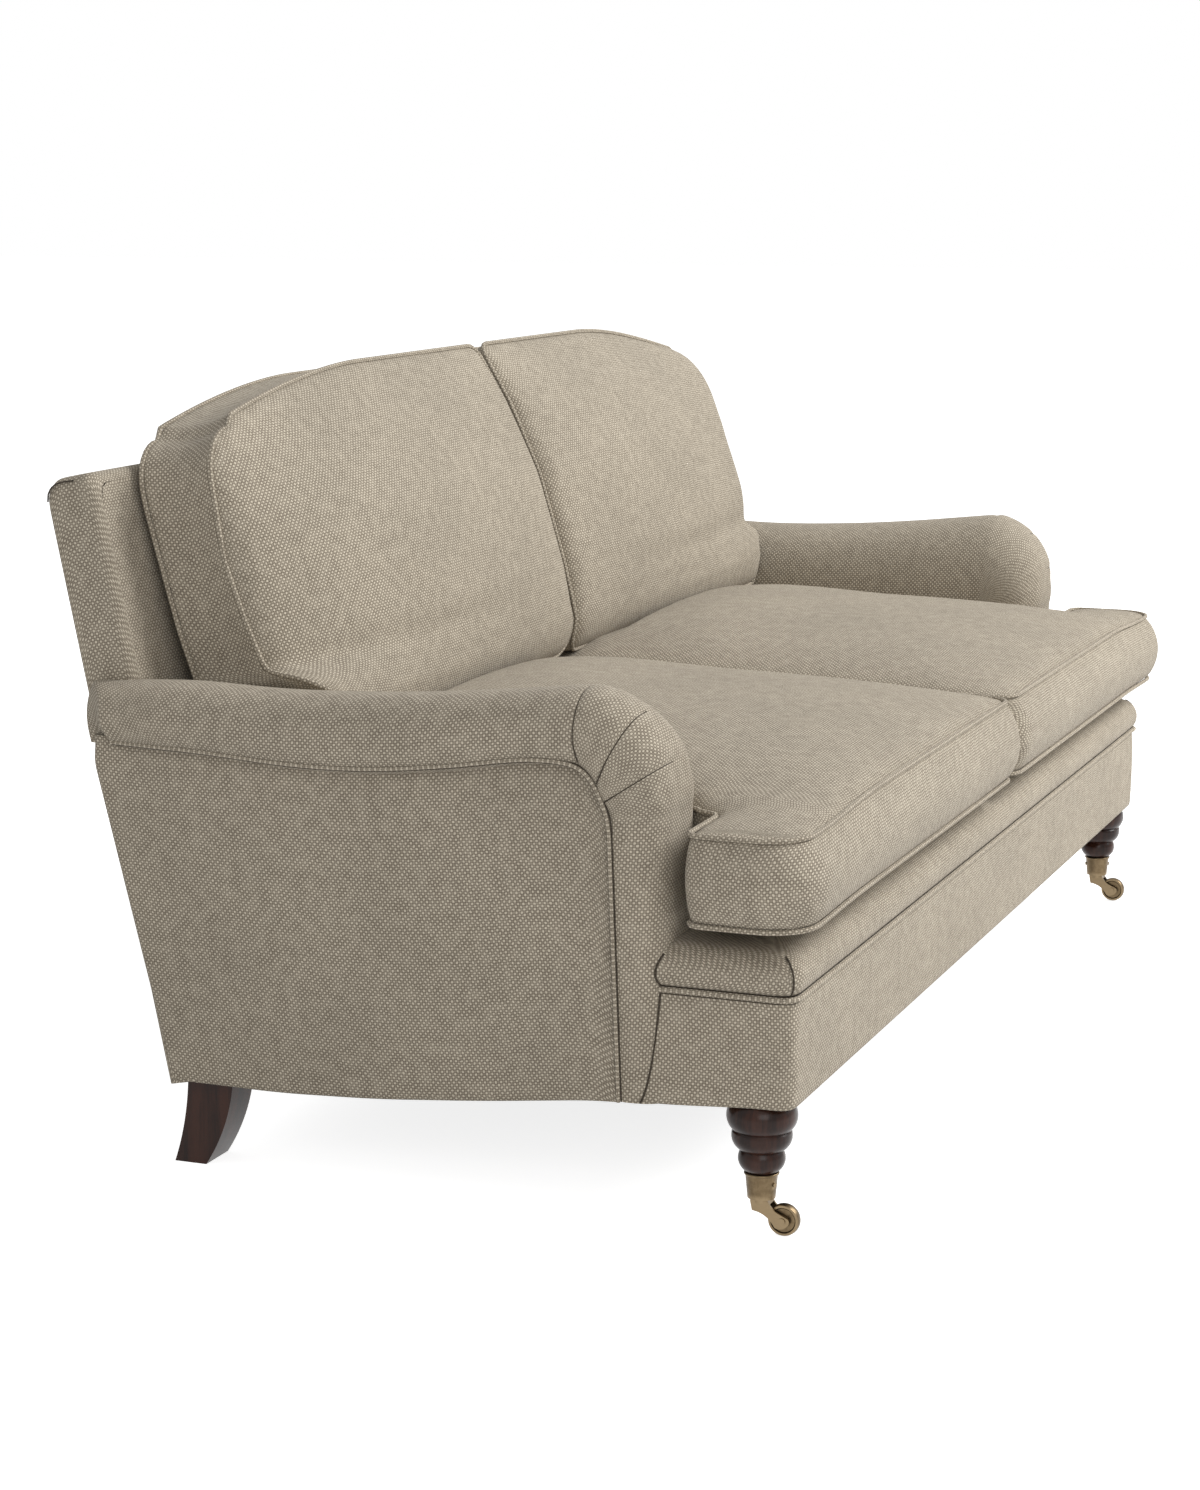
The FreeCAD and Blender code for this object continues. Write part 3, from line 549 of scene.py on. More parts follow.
turn = np.linspace(0, math.pi / 2, 9)
roll_profile = [(-0.010, welt_level + 0.0030), (-0.002, welt_level + 0.0034), (0.0022, welt_level + 0.0055),
                (0.0056, welt_level + 0.012), (roll_front, welt_level + 0.020)]
roll_profile += [(roll_front - 0.030 * (1 - math.cos(a)), roll_top - 0.0305 + 0.029 * math.sin(a)) for a in turn[1:]]
roll_profile += [(-0.034 - 0.0075 * k, roll_top - 0.0012 + 0.0003 * k) for k in range(1, 6)]
roll = base_band(roll_profile, roll_corner)
for side in (-1, 1):
    from_side, from_front = np.abs(roll[:, :, 0] - side * base_side), roll[:, :, 1] - base_front
    near = (from_side < mitre_reach) & (from_front < mitre_reach)
    mitre = from_side - np.abs(from_front)
    roll[:, :, 2] -= np.where(near, mitre_dip * np.exp(-(mitre / mitre_width) ** 2), 0)
place(sew("border_roll", [(roll, grid_measure(roll), None)]), "sofa", "front_border_roll", fill=0.9)

# Painted shade: a thin near-black tube down the mitre seam at each front corner of the border roll.
for side, label in ((-1, "left"), (1, "right")):
    mitre_line = []
    for out, height in roll_profile[2:10]:
        mitre_line.append(((base_side + out - 0.0065) * side, base_front - out + 0.0065, height + 0.0002))
    place(cord("border_mitre_painted_shade_" + label, evenly(mitre_line, 0.004), 0.0011, material=shade), "sofa")

# The deck under the seat cushions: padding over the springs, covered in the same cloth.
# In front of the arms it runs out sideways, under the ears of the cushions.
deck_side = 0.775
deck_ear_side = 0.83
deck_ear_back = -0.275
deck_rows = np.linspace(base_front + 0.074, 0.300, 40)
deck_ear = np.linspace(deck_side, deck_ear_side, 6)[1:]
deck_columns = np.concatenate([-deck_ear[::-1], np.linspace(-deck_side, deck_side, 70), deck_ear])
deck_x, deck_y = np.meshgrid(deck_columns, deck_rows)
deck_sag = 0.004 * np.abs(np.sin(math.pi * deck_x / deck_side)) * np.sin(math.pi * (deck_y + 0.36) / 0.66)
deck = np.stack([deck_x, deck_y, roll_top - 0.0003 - np.clip(deck_sag, 0, 1)], axis=2)
deck_middle = np.abs(deck_columns[:-1] + deck_columns[1:]) / 2 < deck_side
deck_kept = deck_middle[None, :] | (deck_rows[:-1] < deck_ear_back)[:, None]
place(sew("seat_deck_cover", [(deck, grid_measure(deck), deck_kept)]), "sofa", "seat_deck", fill=0.9)

# The arms: a padded roll along the top that turns over the arm's front and runs down it as a
# column. It is one length of cloth, sewn to the outside arm along its lower edge.
# A place on it is (how far along, how far across); across runs from that seam over the crest.
turn_y = -0.205
turn_z = 0.467
inner_face = 0.777
straight_steps = 44
turn_steps = 26
column_steps = 26
column_foot = 0.143
arm_rear = 0.425
first_dart = -0.2006
later_darts = (26.5, 56.0)
dart_dip = 0.0022
dart_centre = (0.885, 0.075)
roll_middle = 0.893
roll_half = 0.0525
roll_crest = [(-0.21, 0.138), (-0.15, 0.131), (-0.07, 0.122), (0.01, 0.115), (0.10, 0.110), (0.18, 0.108),
              (0.29, 0.112), (0.44, 0.106)]
roll_seam = [(-0.205, 0.058), (-0.175, 0.0615), (-0.13, 0.060), (-0.084, 0.050), (0.036, 0.036), (0.133, 0.034),
             (0.26, 0.042), (0.44, 0.044)]
turn_crest = ([0, 24, 51, 66, 90], [0.138, 0.125, 0.1075, 0.0945, 0.0865])
turn_seam = ([0, 20, 38, 56, 90], [0.0585, 0.0475, 0.038, 0.0330, 0.0320])


def by_place(y, pairs):
    """A value read off (y, value) pairs, eased between them."""
    places = np.array([p for p, _ in pairs])
    values = np.array([v for _, v in pairs])
    near = [np.interp(y + shift, places, values) for shift in (-0.03, -0.015, 0, 0.015, 0.03)]
    return float(np.mean(near))


def arm_section(angle, y, z):
    """One section of the arm's skin, as (out, height above the turning line), seam to inner face."""
    lean = soft_step(angle, 0, 90)
    if angle <= 0:
        crest, seam = by_place(y, roll_crest), by_place(y, roll_seam)
    else:
        crest, seam = float(np.interp(angle, *turn_crest)), float(np.interp(angle, *turn_seam))
    centre_v = seam + 0.026 * (1 - lean) + 0.002 * lean
    centre_u = roll_middle - 0.021 * lean
    radius_u = roll_half + 0.0005 * lean
    start = -math.asin(min(0.9, (centre_v - seam) / (crest - centre_v)))
    shelf = 0.885 - 0.063 * lean
    inner_v = 0.015 + 0.025 * lean
    taper = max(0.0, 0.487 - z) * 0.097 if angle >= 90 else 0.0
    outer_turn = np.linspace(start, math.pi / 2, 15)
    square = 1 - 0.28 * lean
    u = list(centre_u + radius_u * np.cos(outer_turn) ** square)
    v = list(centre_v + (crest - centre_v) * np.sign(outer_turn) * np.abs(np.sin(outer_turn)) ** square)
    tuck_u, tuck_v = u[0], v[0]
    u = [tuck_u - 0.024, tuck_u - 0.012] + u
    v = [tuck_v - 0.010, tuck_v - 0.006] + v
    for k in range(1, 5):
        u.append(centre_u + (shelf - centre_u) * k / 4)
        v.append(crest)
    for a in np.linspace(0, math.pi / 2, 13)[1:]:
        u.append(shelf - (shelf - inner_face) * math.sin(a))
        v.append(inner_v + (crest - inner_v) * math.cos(a))
    low = -0.137 if angle <= 0 else 0.0
    for k in range(1, 7):
        u.append(inner_face)
        v.append(inner_v + (low - inner_v) * k / 6)
    u, v = np.array(u), np.array(v)
    u = u - taper * soft_step(u, 0.83, 0.88)
    return u, v


def arm_stations():
    """(angle, y, z) of every section, from the rear end to the foot of the column."""
    stations = [(0.0, y, turn_z, 0.0) for y in np.linspace(arm_rear, first_dart + 0.012, straight_steps)]
    stations += [(0.0, first_dart + 0.0045, turn_z, 0.0), (0.0, first_dart, turn_z, 1.0), (0.0, turn_y, turn_z, 0.0)]
    angles = [a for a in np.linspace(0, 90, turn_steps)[1:] if min(abs(a - d) for d in later_darts) > 2.6]
    angles += [d + shift for d in later_darts for shift in (-1.5, 0, 1.5)]
    stations += [(a, turn_y, turn_z, float(a in later_darts)) for a in sorted(angles)]
    stations += [(90.0, turn_y, z, 0.0) for z in np.linspace(turn_z, column_foot, column_steps)[1:]]
    return stations


def arm_points():
    """The arm's skin for the left side, as a grid of points."""
    made = []
    for angle, y, z, pull in arm_stations():
        u, v = arm_section(angle, y, z)
        if pull:
            drawn = dart_dip * soft_step(np.arange(len(u)), 2, 4) * (1 - soft_step(np.arange(len(u)), 17, 21))
            from_u, from_v = u - dart_centre[0], v - dart_centre[1]
            away = np.hypot(from_u, from_v)
            u, v = u - drawn * from_u / away, v - drawn * from_v / away
        if angle >= 90:
            v = np.where(v <= 0.0001, -0.010, v)
            made.append(np.column_stack([-u, turn_y - v, np.full(len(u), z)]))
        elif angle > 0:
            a = math.radians(angle)
            made.append(np.column_stack([-u, turn_y - v * math.sin(a), turn_z + v * math.cos(a)]))
        else:
            slant = rake_at(turn_z + v, y) - (0.030 + 0.004 * (1 - soft_step(v, 0.030, 0.060))) \
                * soft_step(u, 0.885, 0.945) * soft_step(y, 0.30, arm_rear)
            made.append(np.column_stack([-u, slant, turn_z + v]))
    return np.array(made)


def rake_at(z, y):
    """Slides a section's points along the arm near its rear end, where it is cut to the back's rake."""
    rear_line = 0.4345 + (z - 0.565) * 0.207 - 0.030
    share = soft_step(y, 0.20, arm_rear)
    return y + share * (rear_line - arm_rear)


# The rear end of the roll is closed by a shallow cap, drawn in ring by ring towards one point.
cap_middle = (-0.905, 0.0, 0.499)
cap_bulge = 0.012
arm = arm_points()
cap_rows = []
for shrink in (0.985, 0.94, 0.86, 0.74, 0.55, 0.30, 0.06):
    ring = arm[0].copy()
    outside = ring[:, 0] < -0.80
    centre = np.array(cap_middle) + (0, 1, 0) * ring[:, 1:2]
    ring = np.where(outside[:, None], centre + (ring - centre) * (shrink, 1, shrink), ring)
    ring[:, 1] += cap_bulge * math.sqrt(1 - shrink ** 2.5) * soft_step(ring[:, 2], cap_middle[2], 0.535)
    cap_rows.append(ring)
arm = np.concatenate([np.array(cap_rows[::-1]), arm])
cap_count = len(cap_rows)
crest_line = 2 + 14


def on_arm(row, column):
    """A point of the left arm's skin between its grid points."""
    rows_at = np.clip(row, 0, arm.shape[0] - 1.001)
    columns_at = np.clip(column, 0, arm.shape[1] - 1.001)
    i, j = int(rows_at), int(columns_at)
    a, b = rows_at - i, columns_at - j
    near = arm[i, j] * (1 - b) + arm[i, j + 1] * b
    far = arm[i + 1, j] * (1 - b) + arm[i + 1, j + 1] * b
    return near * (1 - a) + far * a


measure = grid_measure(arm)
measure[..., 1] = run_lengths(arm[:, crest_line])[:, None]
for side, label in ((1, "left"), (-1, "right")):
    flip = np.array([side, 1, 1])
    skin = sew("arm_skin_" + label, [(arm * flip, measure, None)])
    place(skin, "sofa", "arm_roll_" + label, "inside_arm_" + label, fill=0.9)

# The spare cloth of the turn is taken up in three darts, each a short sewn seam from the crest
# down to the long seam. Each is given as its station and the columns that it crosses. The shade in
# each dart's groove is painted: a thin near-black tube runs along it.
dart_ends = (17.2, 19.0, 16.6)
dart_rows = [cap_count + k for k, station in enumerate(arm_stations()) if station[3]]
for number, (row, last) in enumerate(zip(dart_rows, dart_ends)):
    for side, label in ((1, "left"), (-1, "right")):
        columns = np.linspace(2.4, last, 40)
        sway = 1.1 * soft_step(-columns, -6.0, -2.0) if number < 2 else 0 * columns
        line = np.array([on_arm(row + shift, column) for shift, column in zip(sway, columns)])
        line[:, 0] -= 0.0003
        dart_shade_line = evenly(line, 0.004) * (side, 1, 1)
        place(cord("arm_dart_painted_shade_%d_%s" % (number + 1, label), dart_shade_line, 0.0009, material=shade), "sofa")

# Where the column stands against the end of the base, the two covers are sewn together in a deep
# seam. Its shade is painted: a thin near-black tube follows the column's front edge and the side of
# the rail and the border roll.
roll_outline = np.array(roll_profile[:13])
for side, label in ((1, "left"), (-1, "right")):
    meeting = []
    for z in np.linspace(column_foot + 0.001, roll_top - 0.012, 60):
        u, v = arm_section(90.0, turn_y, z)
        front = slice(int(np.argmax(u)), 2 + 15)
        on_roll = np.interp(z, roll_outline[:, 1], roll_outline[:, 0])
        reach = base_side + (0.0004 if z < welt_level + 0.003 else on_roll)
        meeting.append((-reach - 0.0002, turn_y - np.interp(-reach, -u[front], v[front]) - 0.0004, z))
    place(cord("column_seam_painted_shade_" + label, evenly(meeting, 0.005) * (side, 1, 1), 0.0013, material=shade), "sofa")

# The outside arm: one flat panel over the frame, turned under at its foot and round the back
# edge, with a thin cord sewn along its top and its front edge.
panel_top_x = 0.9150
panel_low_x = 0.8900
panel_front = -0.2315
panel_foot = 0.108
panel_columns = 64
panel_shares = np.linspace(0, 1, 40)
foot_profile = [(-0.2325, 0.142), (-0.212, 0.142), (-0.068, 0.125), (0.06, 0.113), (0.182, 0.107), (0.30, 0.108)]
seam_run = arm[cap_count:, 2].copy()


def panel_x(z):
    """How far out the panel stands at a height."""
    return np.interp(z, [0.10, 0.15, 0.49, 0.55], [0.888, panel_low_x, panel_top_x, panel_top_x + 0.003])


def rear_edge_y(z):
    """The raked rear line of the side, from the height."""
    return 0.320 + (z - panel_foot) * 0.2075


top_line = seam_run[:straight_steps + 14]
top_line = top_line[top_line[:, 1] > -0.230]
top_line = top_line[np.argsort(top_line[:, 1])]
panel_rows = []
for across_share in np.linspace(0, 1, panel_columns):
    foot_y = np.interp(across_share, [0, 1], [rear_edge_y(panel_foot), panel_front])
    foot_z = by_place(foot_y, foot_profile)
    top_y = np.interp(across_share, [0, 1], [rear_edge_y(0.51), panel_front])
    top_z = np.interp(top_y, top_line[:, 1], top_line[:, 2])
    top_z = min(top_z, 0.4985 + (top_y - panel_front) * 2.2) + 0.004 * soft_step(top_y, 0.34, 0.40)
    heights = foot_z + (top_z - foot_z) * panel_shares
    ys = foot_y + (top_y - foot_y) * panel_shares
    ys = ys - 0.009 * (1 - across_share) * soft_step(panel_shares, 0.91, 1.0)
    swell = 0.0035 * math.sin(math.pi * across_share) * np.sin(math.pi * panel_shares)
    panel_rows.append(np.column_stack([-(panel_x(heights) + swell), ys, heights]))
outside = np.array(panel_rows)
turned = outside[0].copy() + (0.0, 0.004, 0)
turned_in = outside[0].copy() + (0.030, 0.006, 0)
outside = np.concatenate([turned_in[None], turned[None], outside])
outside[0:2, :, 0] += np.array([[0.0], [0.004]])
foot_turn = outside[:, :1] + np.array([0.004, 0, -0.002])
foot_in = outside[:, :1] + np.array([0.024, 0, -0.0005])
outside = np.concatenate([foot_in, foot_turn, outside], axis=1)
for side, label in ((1, "left"), (-1, "right")):
    flip = np.array([side, 1, 1])
    panel = sew("outside_arm_cloth_" + label, [(outside * flip, grid_measure(outside), None)])
    place(panel, "sofa", "outside_arm_" + label, fill=0.95)
    seam = seam_run + np.array([-0.0008, 0, 0])
    seam[:, 0] = -np.maximum(-seam[:, 0], panel_x(seam[:, 2]) + 0.0016)
    seam = evenly(seam, 0.006)
    for _ in range(12):
        seam[1:-1] = (seam[:-2] + 2 * seam[1:-1] + seam[2:]) / 4
    place(cord("arm_cord_" + label, seam * flip, 0.0024), "sofa")
    beside = evenly(seam, 0.006) + (0.0024, 0, 0)
    ahead = np.gradient(beside, axis=0)
    up = np.cross(ahead, (1, 0, 0))
    up /= np.linalg.norm(up, axis=1)[:, None]
    for mark, shift in (("roll", 0.0027), ("panel", -0.0027)):
        line = (beside + up * shift) * flip
        place(cord("arm_shade_%s_%s" % (mark, label), line, 0.0009, material=shade), "sofa")

# Seat cushions: feather wrapped round foam, in a boxed cover with cord on both seams. Each has an
# ear that passes in front of its arm. The faces swell like a blown-up skin held at its seams.
seat_top_seam = 0.462
seat_low_seam = 0.360
seat_front = -0.446
seat_rear = 0.300
seat_inner = 0.0065
seat_side = 0.7705
ear_side = 0.9215
ear_back = -0.322
notch_back = -0.292
seat_cell = 0.0125
seat_swell = 0.056
seat_crown = 0.013
notch_curl = ([notch_back - 0.03, notch_back, -0.280, -0.262, -0.240, -0.200],
              [0, 0.0245, 0.0165, 0.008, 0.0035, 0])


def steps_between(a, b, cell):
    """Even marks from a to b, about one cell apart."""
    return np.linspace(a, b, max(2, int(round(abs(b - a) / cell)) + 1))


def round_corner(grid, corner, radius, toward):
    """Turns a square corner of a flat grid into an arc. toward points from the corner inwards."""
    a = np.clip(1 - (grid[..., 0] - corner[0]) * toward[0] / radius, 0, 1)
    b = np.clip(1 - (grid[..., 1] - corner[1]) * toward[1] / radius, 0, 1)
    near = (a > 0) & (b > 0)
    round_a = a * np.sqrt(1 - b * b / 2)
    round_b = b * np.sqrt(1 - a * a / 2)
    moved = grid.copy()
    moved[..., 0] = np.where(near, corner[0] + toward[0] * radius * (1 - round_a), grid[..., 0])
    moved[..., 1] = np.where(near, corner[1] + toward[1] * radius * (1 - round_b), grid[..., 1])
    return moved


def blown_skin(kept, edge_values, rounds=5000):
    """How far a skin held at its edge swells, 0 to 1, on the nodes of a grid with kept cells."""
    rows, columns = kept.shape[0] + 1, kept.shape[1] + 1
    count = np.zeros((rows, columns))
    for di in (0, 1):
        for dj in (0, 1):
            count[di:di + rows - 1, dj:dj + columns - 1] += kept
    inner = count == 4
    height = edge_values.copy()
    for _ in range(rounds):
        around = (np.roll(height, 1, 0) + np.roll(height, -1, 0) + np.roll(height, 1, 1) + np.roll(height, -1, 1)) / 4
        height = np.where(inner, around + 0.0008, edge_values)
    return height / height.max()


def edge_walk(row_marks, column_marks):
    """Grid places round an L shape, counter-clockwise: row and column indices of its corners."""
    walk = []
    corners = list(zip(row_marks, column_marks))
    for (i0, j0), (i1, j1) in zip(corners, corners[1:] + corners[:1]):
        count = max(abs(i1 - i0), abs(j1 - j0))
        for k in range(count):
            walk.append((i0 + (i1 - i0) * k // count, j0 + (j1 - j0) * k // count))
    return walk


ear_rows = steps_between(seat_front, notch_back, seat_cell)
main_rows = steps_between(notch_back, seat_rear, seat_cell)
main_columns = steps_between(seat_inner, seat_side, seat_cell)
ear_columns = steps_between(seat_side, ear_side, seat_cell)
ys = np.concatenate([ear_rows, main_rows[1:]])
xs = np.concatenate([main_columns, ear_columns[1:]])
ear_row_count, main_column_count = len(ear_rows) - 1, len(main_columns) - 1
flat = np.stack(np.meshgrid(xs, ys), axis=2)
ear_share = soft_step(flat[..., 0], seat_side, seat_side + 0.05)
row_share = np.clip((flat[..., 1] - seat_front) / (notch_back - seat_front), 0, 1)
flat[..., 1] += ear_share * row_share * (ear_back - notch_back) * (flat[..., 1] <= notch_back + 1e-6)
flat = round_corner(flat, (ear_side, seat_front), 0.050, (-1, 1))
flat = round_corner(flat, (seat_inner, seat_front), 0.030, (1, 1))
flat = round_corner(flat, (ear_side, ear_back), 0.016, (-1, -1))
flat = round_corner(flat, (seat_side, seat_rear), 0.030, (-1, -1))
flat[..., 0] += np.interp(flat[..., 1], *notch_curl) * np.where(
    flat[..., 0] <= seat_side, np.clip(flat[..., 0] / seat_side, 0, 1) ** 8,
    np.clip((ear_side - flat[..., 0]) / (ear_side - seat_side), 0, 1))
flat = round_corner(flat, (seat_inner, seat_rear), 0.025, (1, -1))
seat_kept = np.ones((len(ys) - 1, len(xs) - 1), bool)
seat_kept[ear_row_count:, main_column_count:] = False
swell = blown_skin(seat_kept, np.zeros((len(ys), len(xs))))
top_height = seat_swell * swell ** 0.62
top_height += seat_crown * soft_step(flat[..., 1], -0.12, 0.10) * (1 - soft_step(flat[..., 1], 0.15, 0.24)) * swell ** 0.4
cushion_line = back_foot_z + (back_foot_y - flat[..., 1]) / math.cos(rake) * math.sin(rake) + 0.0035
top_z = seat_top_seam - 0.0085 * soft_step(flat[..., 0], 0.62, 0.86) + top_height
top_z = np.where(flat[..., 1] > 0.155, np.minimum(top_z, np.maximum(cushion_line, seat_top_seam)), top_z)
low_z = np.maximum(seat_low_seam - seat_swell * swell ** 0.50, roll_top + 0.0008)
seat_walk = edge_walk([0, 0, ear_row_count, ear_row_count, len(ys) - 1, len(ys) - 1],
                      [0, len(xs) - 1, len(xs) - 1, main_column_count, main_column_count, 0])


def boxing(edge_top, edge_low, bulges, levels=9):
    """The strip between two seams. Each point has its own bulge, square to the edge."""
    ahead = np.roll(edge_top, -1, axis=0) - np.roll(edge_top, 1, axis=0)
    rise = edge_top - edge_low
    out = np.cross(ahead, rise)
    out /= np.linalg.norm(out, axis=1)[:, None]
    for _ in range(3):
        out = (np.roll(out, 1, axis=0) + out * 2 + np.roll(out, -1, axis=0)) / 4
    out /= np.linalg.norm(out, axis=1)[:, None]
    rows = []
    for share in np.linspace(0, 1, levels):
        belly = math.sin(math.pi * share) ** 0.75 if 0 < share < 1 else 0.0
        rows.append(edge_low + rise * share + out * (bulges * belly)[:, None])
    grid = np.array(rows)
    return np.concatenate([grid, grid[:, :1]], axis=1), out


def seat_cushion(side, label):
    """One seat cushion with its two cords. side is -1 for the left of the sofa."""
    top = np.dstack([flat[..., 0] * side, flat[..., 1], top_z])
    low = np.dstack([flat[..., 0] * side, flat[..., 1], low_z])
    edge_top = np.array([top[i, j] for i, j in seat_walk])
    edge_low = np.array([low[i, j] for i, j in seat_walk])
    edge_low[:, 1] -= 0.006 * soft_step(-edge_low[:, 1], 0.30, 0.44)
    edge_low[:, 2] -= 0.003 * soft_step(np.abs(edge_low[:, 0]), 0.70, 0.88)
    for (i, j), spot in zip(seat_walk, edge_low):
        low[i, j] = spot
    x, y = np.abs(edge_top[:, 0]), edge_top[:, 1]
    bulges = 0.017 * soft_step(-y, 0.29, 0.40) + 0.003
    bulges = np.where(x < seat_inner + 0.002, 0.0055, bulges)
    bulges = np.where((y > notch_back + 0.01) & (x > 0.70), 0.004, bulges)
    for _ in range(4):
        bulges = (np.roll(bulges, 1) + bulges * 2 + np.roll(bulges, -1)) / 4
    strip, out = boxing(edge_top, edge_low, bulges * side)
    out = out * side
    faces = [(top, grid_measure(top), seat_kept), (low, grid_measure(low) + 3.1, seat_kept)]
    piece = sew("seat_cushion_" + label, faces + [(strip, grid_measure(strip), None)])
    place(piece, "seat_" + label, "seat_cushion_cover_" + label, "seat_cushion_core_" + label, fill=0.75)
    for seam, edge, shift in (("top", edge_top, 0.0008), ("low", edge_low, -0.0008)):
        path = edge + out * 0.0016 + (0, 0, shift)
        place(cord("seat_cord_%s_%s" % (seam, label), path, closed=True), "seat_" + label)


seat_cushion(-1, "left")
seat_cushion(1, "right")

# Back cushions: softer than the seats, boxed and corded the same way, leaning on the inside back.
# Each has a small ear over its arm. The front face swells most near its foot, where it slumps.
# Flat places are (x, height up the rake); depth is measured forwards from the inside back.
lean_cell = 0.0125
lean_low = -0.004
lean_side = 0.7705
lean_top = 0.4375
lean_inner = 0.0065
end_fall = 0.056
front_seam = [(-0.02, 0.160), (0.02, 0.180), (0.045, 0.190), (0.064, 0.183), (0.0735, 0.174), (0.0865, 0.156),
              (0.0895, 0.140), (0.0945, 0.124), (0.107, 0.118), (0.124, 0.1145), (0.154, 0.1075), (0.234, 0.0955),
              (0.384, 0.103), (0.45, 0.106)]
middle_seam = [(-0.02, 0.140), (0.01, 0.160), (0.04, 0.174), (0.12, 0.172), (0.25, 0.161), (0.35, 0.138),
               (0.44, 0.108)]
front_crown = [(-0.02, 0.203), (0.04, 0.208), (0.12, 0.207), (0.25, 0.196), (0.35, 0.173), (0.44, 0.138)]
rear_seam = [(-0.02, 0.030), (0.09, 0.024), (0.16, 0.014), (0.30, 0.004), (0.45, 0.003)]


def eased(value, pairs):
    """Reads values off pairs, with their corners eased."""
    places, values = np.array(pairs).T
    return sum(np.interp(value + shift, places, values) for shift in (-0.006, -0.003, 0, 0.003, 0.006)) / 5


def back_cushion(side, label, ear_reach, full):
    """One back cushion with its two cords. Full is 1 for the one that is stuffed out at its end."""
    ss = np.concatenate([steps_between(lean_low, 0.055, lean_cell)[:-1], steps_between(0.055, 0.125, 0.006),
                         steps_between(0.125, lean_top, lean_cell)[1:]])
    xs = steps_between(lean_inner, lean_side, lean_cell)
    flat = np.stack(np.meshgrid(xs, ss), axis=2)
    outer = lean_side + (ear_reach - lean_side) * soft_step(flat[..., 1], 0.045, 0.088)
    flat[..., 0] *= 1 + (outer / lean_side - 1) * (flat[..., 0] / lean_side) ** 3
    fall = end_fall * np.clip((flat[..., 0] - 0.38) / 0.42, 0, 1.2) ** 1.7
    flat[..., 1] -= fall * soft_step(flat[..., 1], 0.10, lean_top)
    flat = round_corner(flat, (ear_reach, lean_top - end_fall), 0.060, (-1, -1))
    flat = round_corner(flat, (lean_inner, lean_top), 0.024, (1, -1))
    flat = round_corner(flat, (lean_inner, lean_low), 0.030, (1, 1))
    kept = np.ones((len(ss) - 1, len(xs) - 1), bool)
    s = flat[..., 1]
    skin = np.clip(blown_skin(kept, np.zeros((len(ss), len(xs))), 4000), 0, 1)
    near_middle = np.clip(1 - flat[..., 0] / 0.12, 0, 1)
    near_end = soft_step(flat[..., 0], 0.60, lean_side) * full
    skin = skin ** (0.60 - 0.20 * near_middle - 0.24 * near_end)
    toward_middle = 1 - soft_step(flat[..., 0], 0.05, 0.60)
    seam_depth = eased(s, front_seam) + full * 0.030 * soft_step(s, 0.08, 0.16) * (1 - soft_step(s, 0.30, 0.42))
    seam_depth = seam_depth * (1 - toward_middle) + eased(s, middle_seam) * toward_middle
    front_depth = seam_depth + (eased(s, front_crown) + 0.006 * full - seam_depth) * skin
    rear_hollow = skin ** 0.8
    rear_depth = eased(s, rear_seam) * (1 - rear_hollow) + 0.0012 + 0.006 * (1 - rear_hollow)

    def raised(depth):
        return np.array([0, back_foot_y, back_foot_z]) + flat[..., :1] * (side, 0, 0) \
            + depth[..., None] * back_forward + flat[..., 1:] * back_up

    front, rear = raised(front_depth), raised(rear_depth)
    last_row, last_column = len(ss) - 1, len(xs) - 1
    walk = edge_walk([0, 0, last_row, last_row], [0, last_column, last_column, 0])
    edge_front = np.array([front[i, j] for i, j in walk])
    edge_rear = np.array([rear[i, j] for i, j in walk])
    spots = np.array([flat[i, j] for i, j in walk])
    bulges = np.where(spots[:, 1] > 0.11, 0.009 + 0.006 * full, 0.0035)
    bulges = np.where(spots[:, 0] < 0.009, 0.0055, bulges)
    bulges = np.where(spots[:, 1] < lean_low + 0.004, 0.002, bulges)
    for _ in range(6):
        bulges = (np.roll(bulges, 1) + bulges * 2 + np.roll(bulges, -1)) / 4
    strip, out = boxing(edge_front, edge_rear, -bulges * side)
    out = -out * side
    faces = [(front, grid_measure(front), kept), (rear, grid_measure(rear) + 2.3, kept)]
    piece = sew("back_cushion_" + label, faces + [(strip, grid_measure(strip), None)])
    place(piece, "back_" + label, "back_cushion_cover_" + label, "back_cushion_core_" + label, fill=0.6)
    for seam, edge, shift in (("front", edge_front, 0.0008), ("rear", edge_rear, -0.0008)):
        path = edge + out * 0.0016 + back_forward * shift
        place(cord("back_cord_%s_%s" % (seam, label), path, closed=True), "back_" + label)


back_cushion(-1, "left", 0.803, 0.0)
back_cushion(1, "right", 0.815, 1.0)

# Front legs and back legs: beech stained to dark mahogany and lacquered. The front legs are turned,
# so their grain runs round them; the sabre legs are cut from the board, with the grain upright. Here
# all four are given the same grain, upright in each leg's own frame.
wood_dark = (0.0105, 0.0036, 0.0022, 1)
wood_light = (0.044, 0.0150, 0.0085, 1)
timber_grain, make, given, end = new_group(
    "timber_grain", [("Place", "Vector", None), ("Scale", "Float", 60.0), ("Dark", "Color", wood_dark),
                     ("Light", "Color", wood_light)], [("Color", "Color"), ("Height", "Float")])
stretch = make.nodes.new("ShaderNodeMapping")
stretch.inputs["Scale"].default_value = (1.0, 1.0, 0.09)
make.links.new(given["Place"], stretch.inputs["Vector"])
rings = make.noise(stretch.outputs[0], given["Scale"], 5.0, 0.62)
pores = make.noise(stretch.outputs[0], make.math("MULTIPLY", given["Scale"], 9.0), 2.0, 0.6)
flecks = make.math("MULTIPLY", make.math("SUBTRACT", pores, 0.5), 0.5)
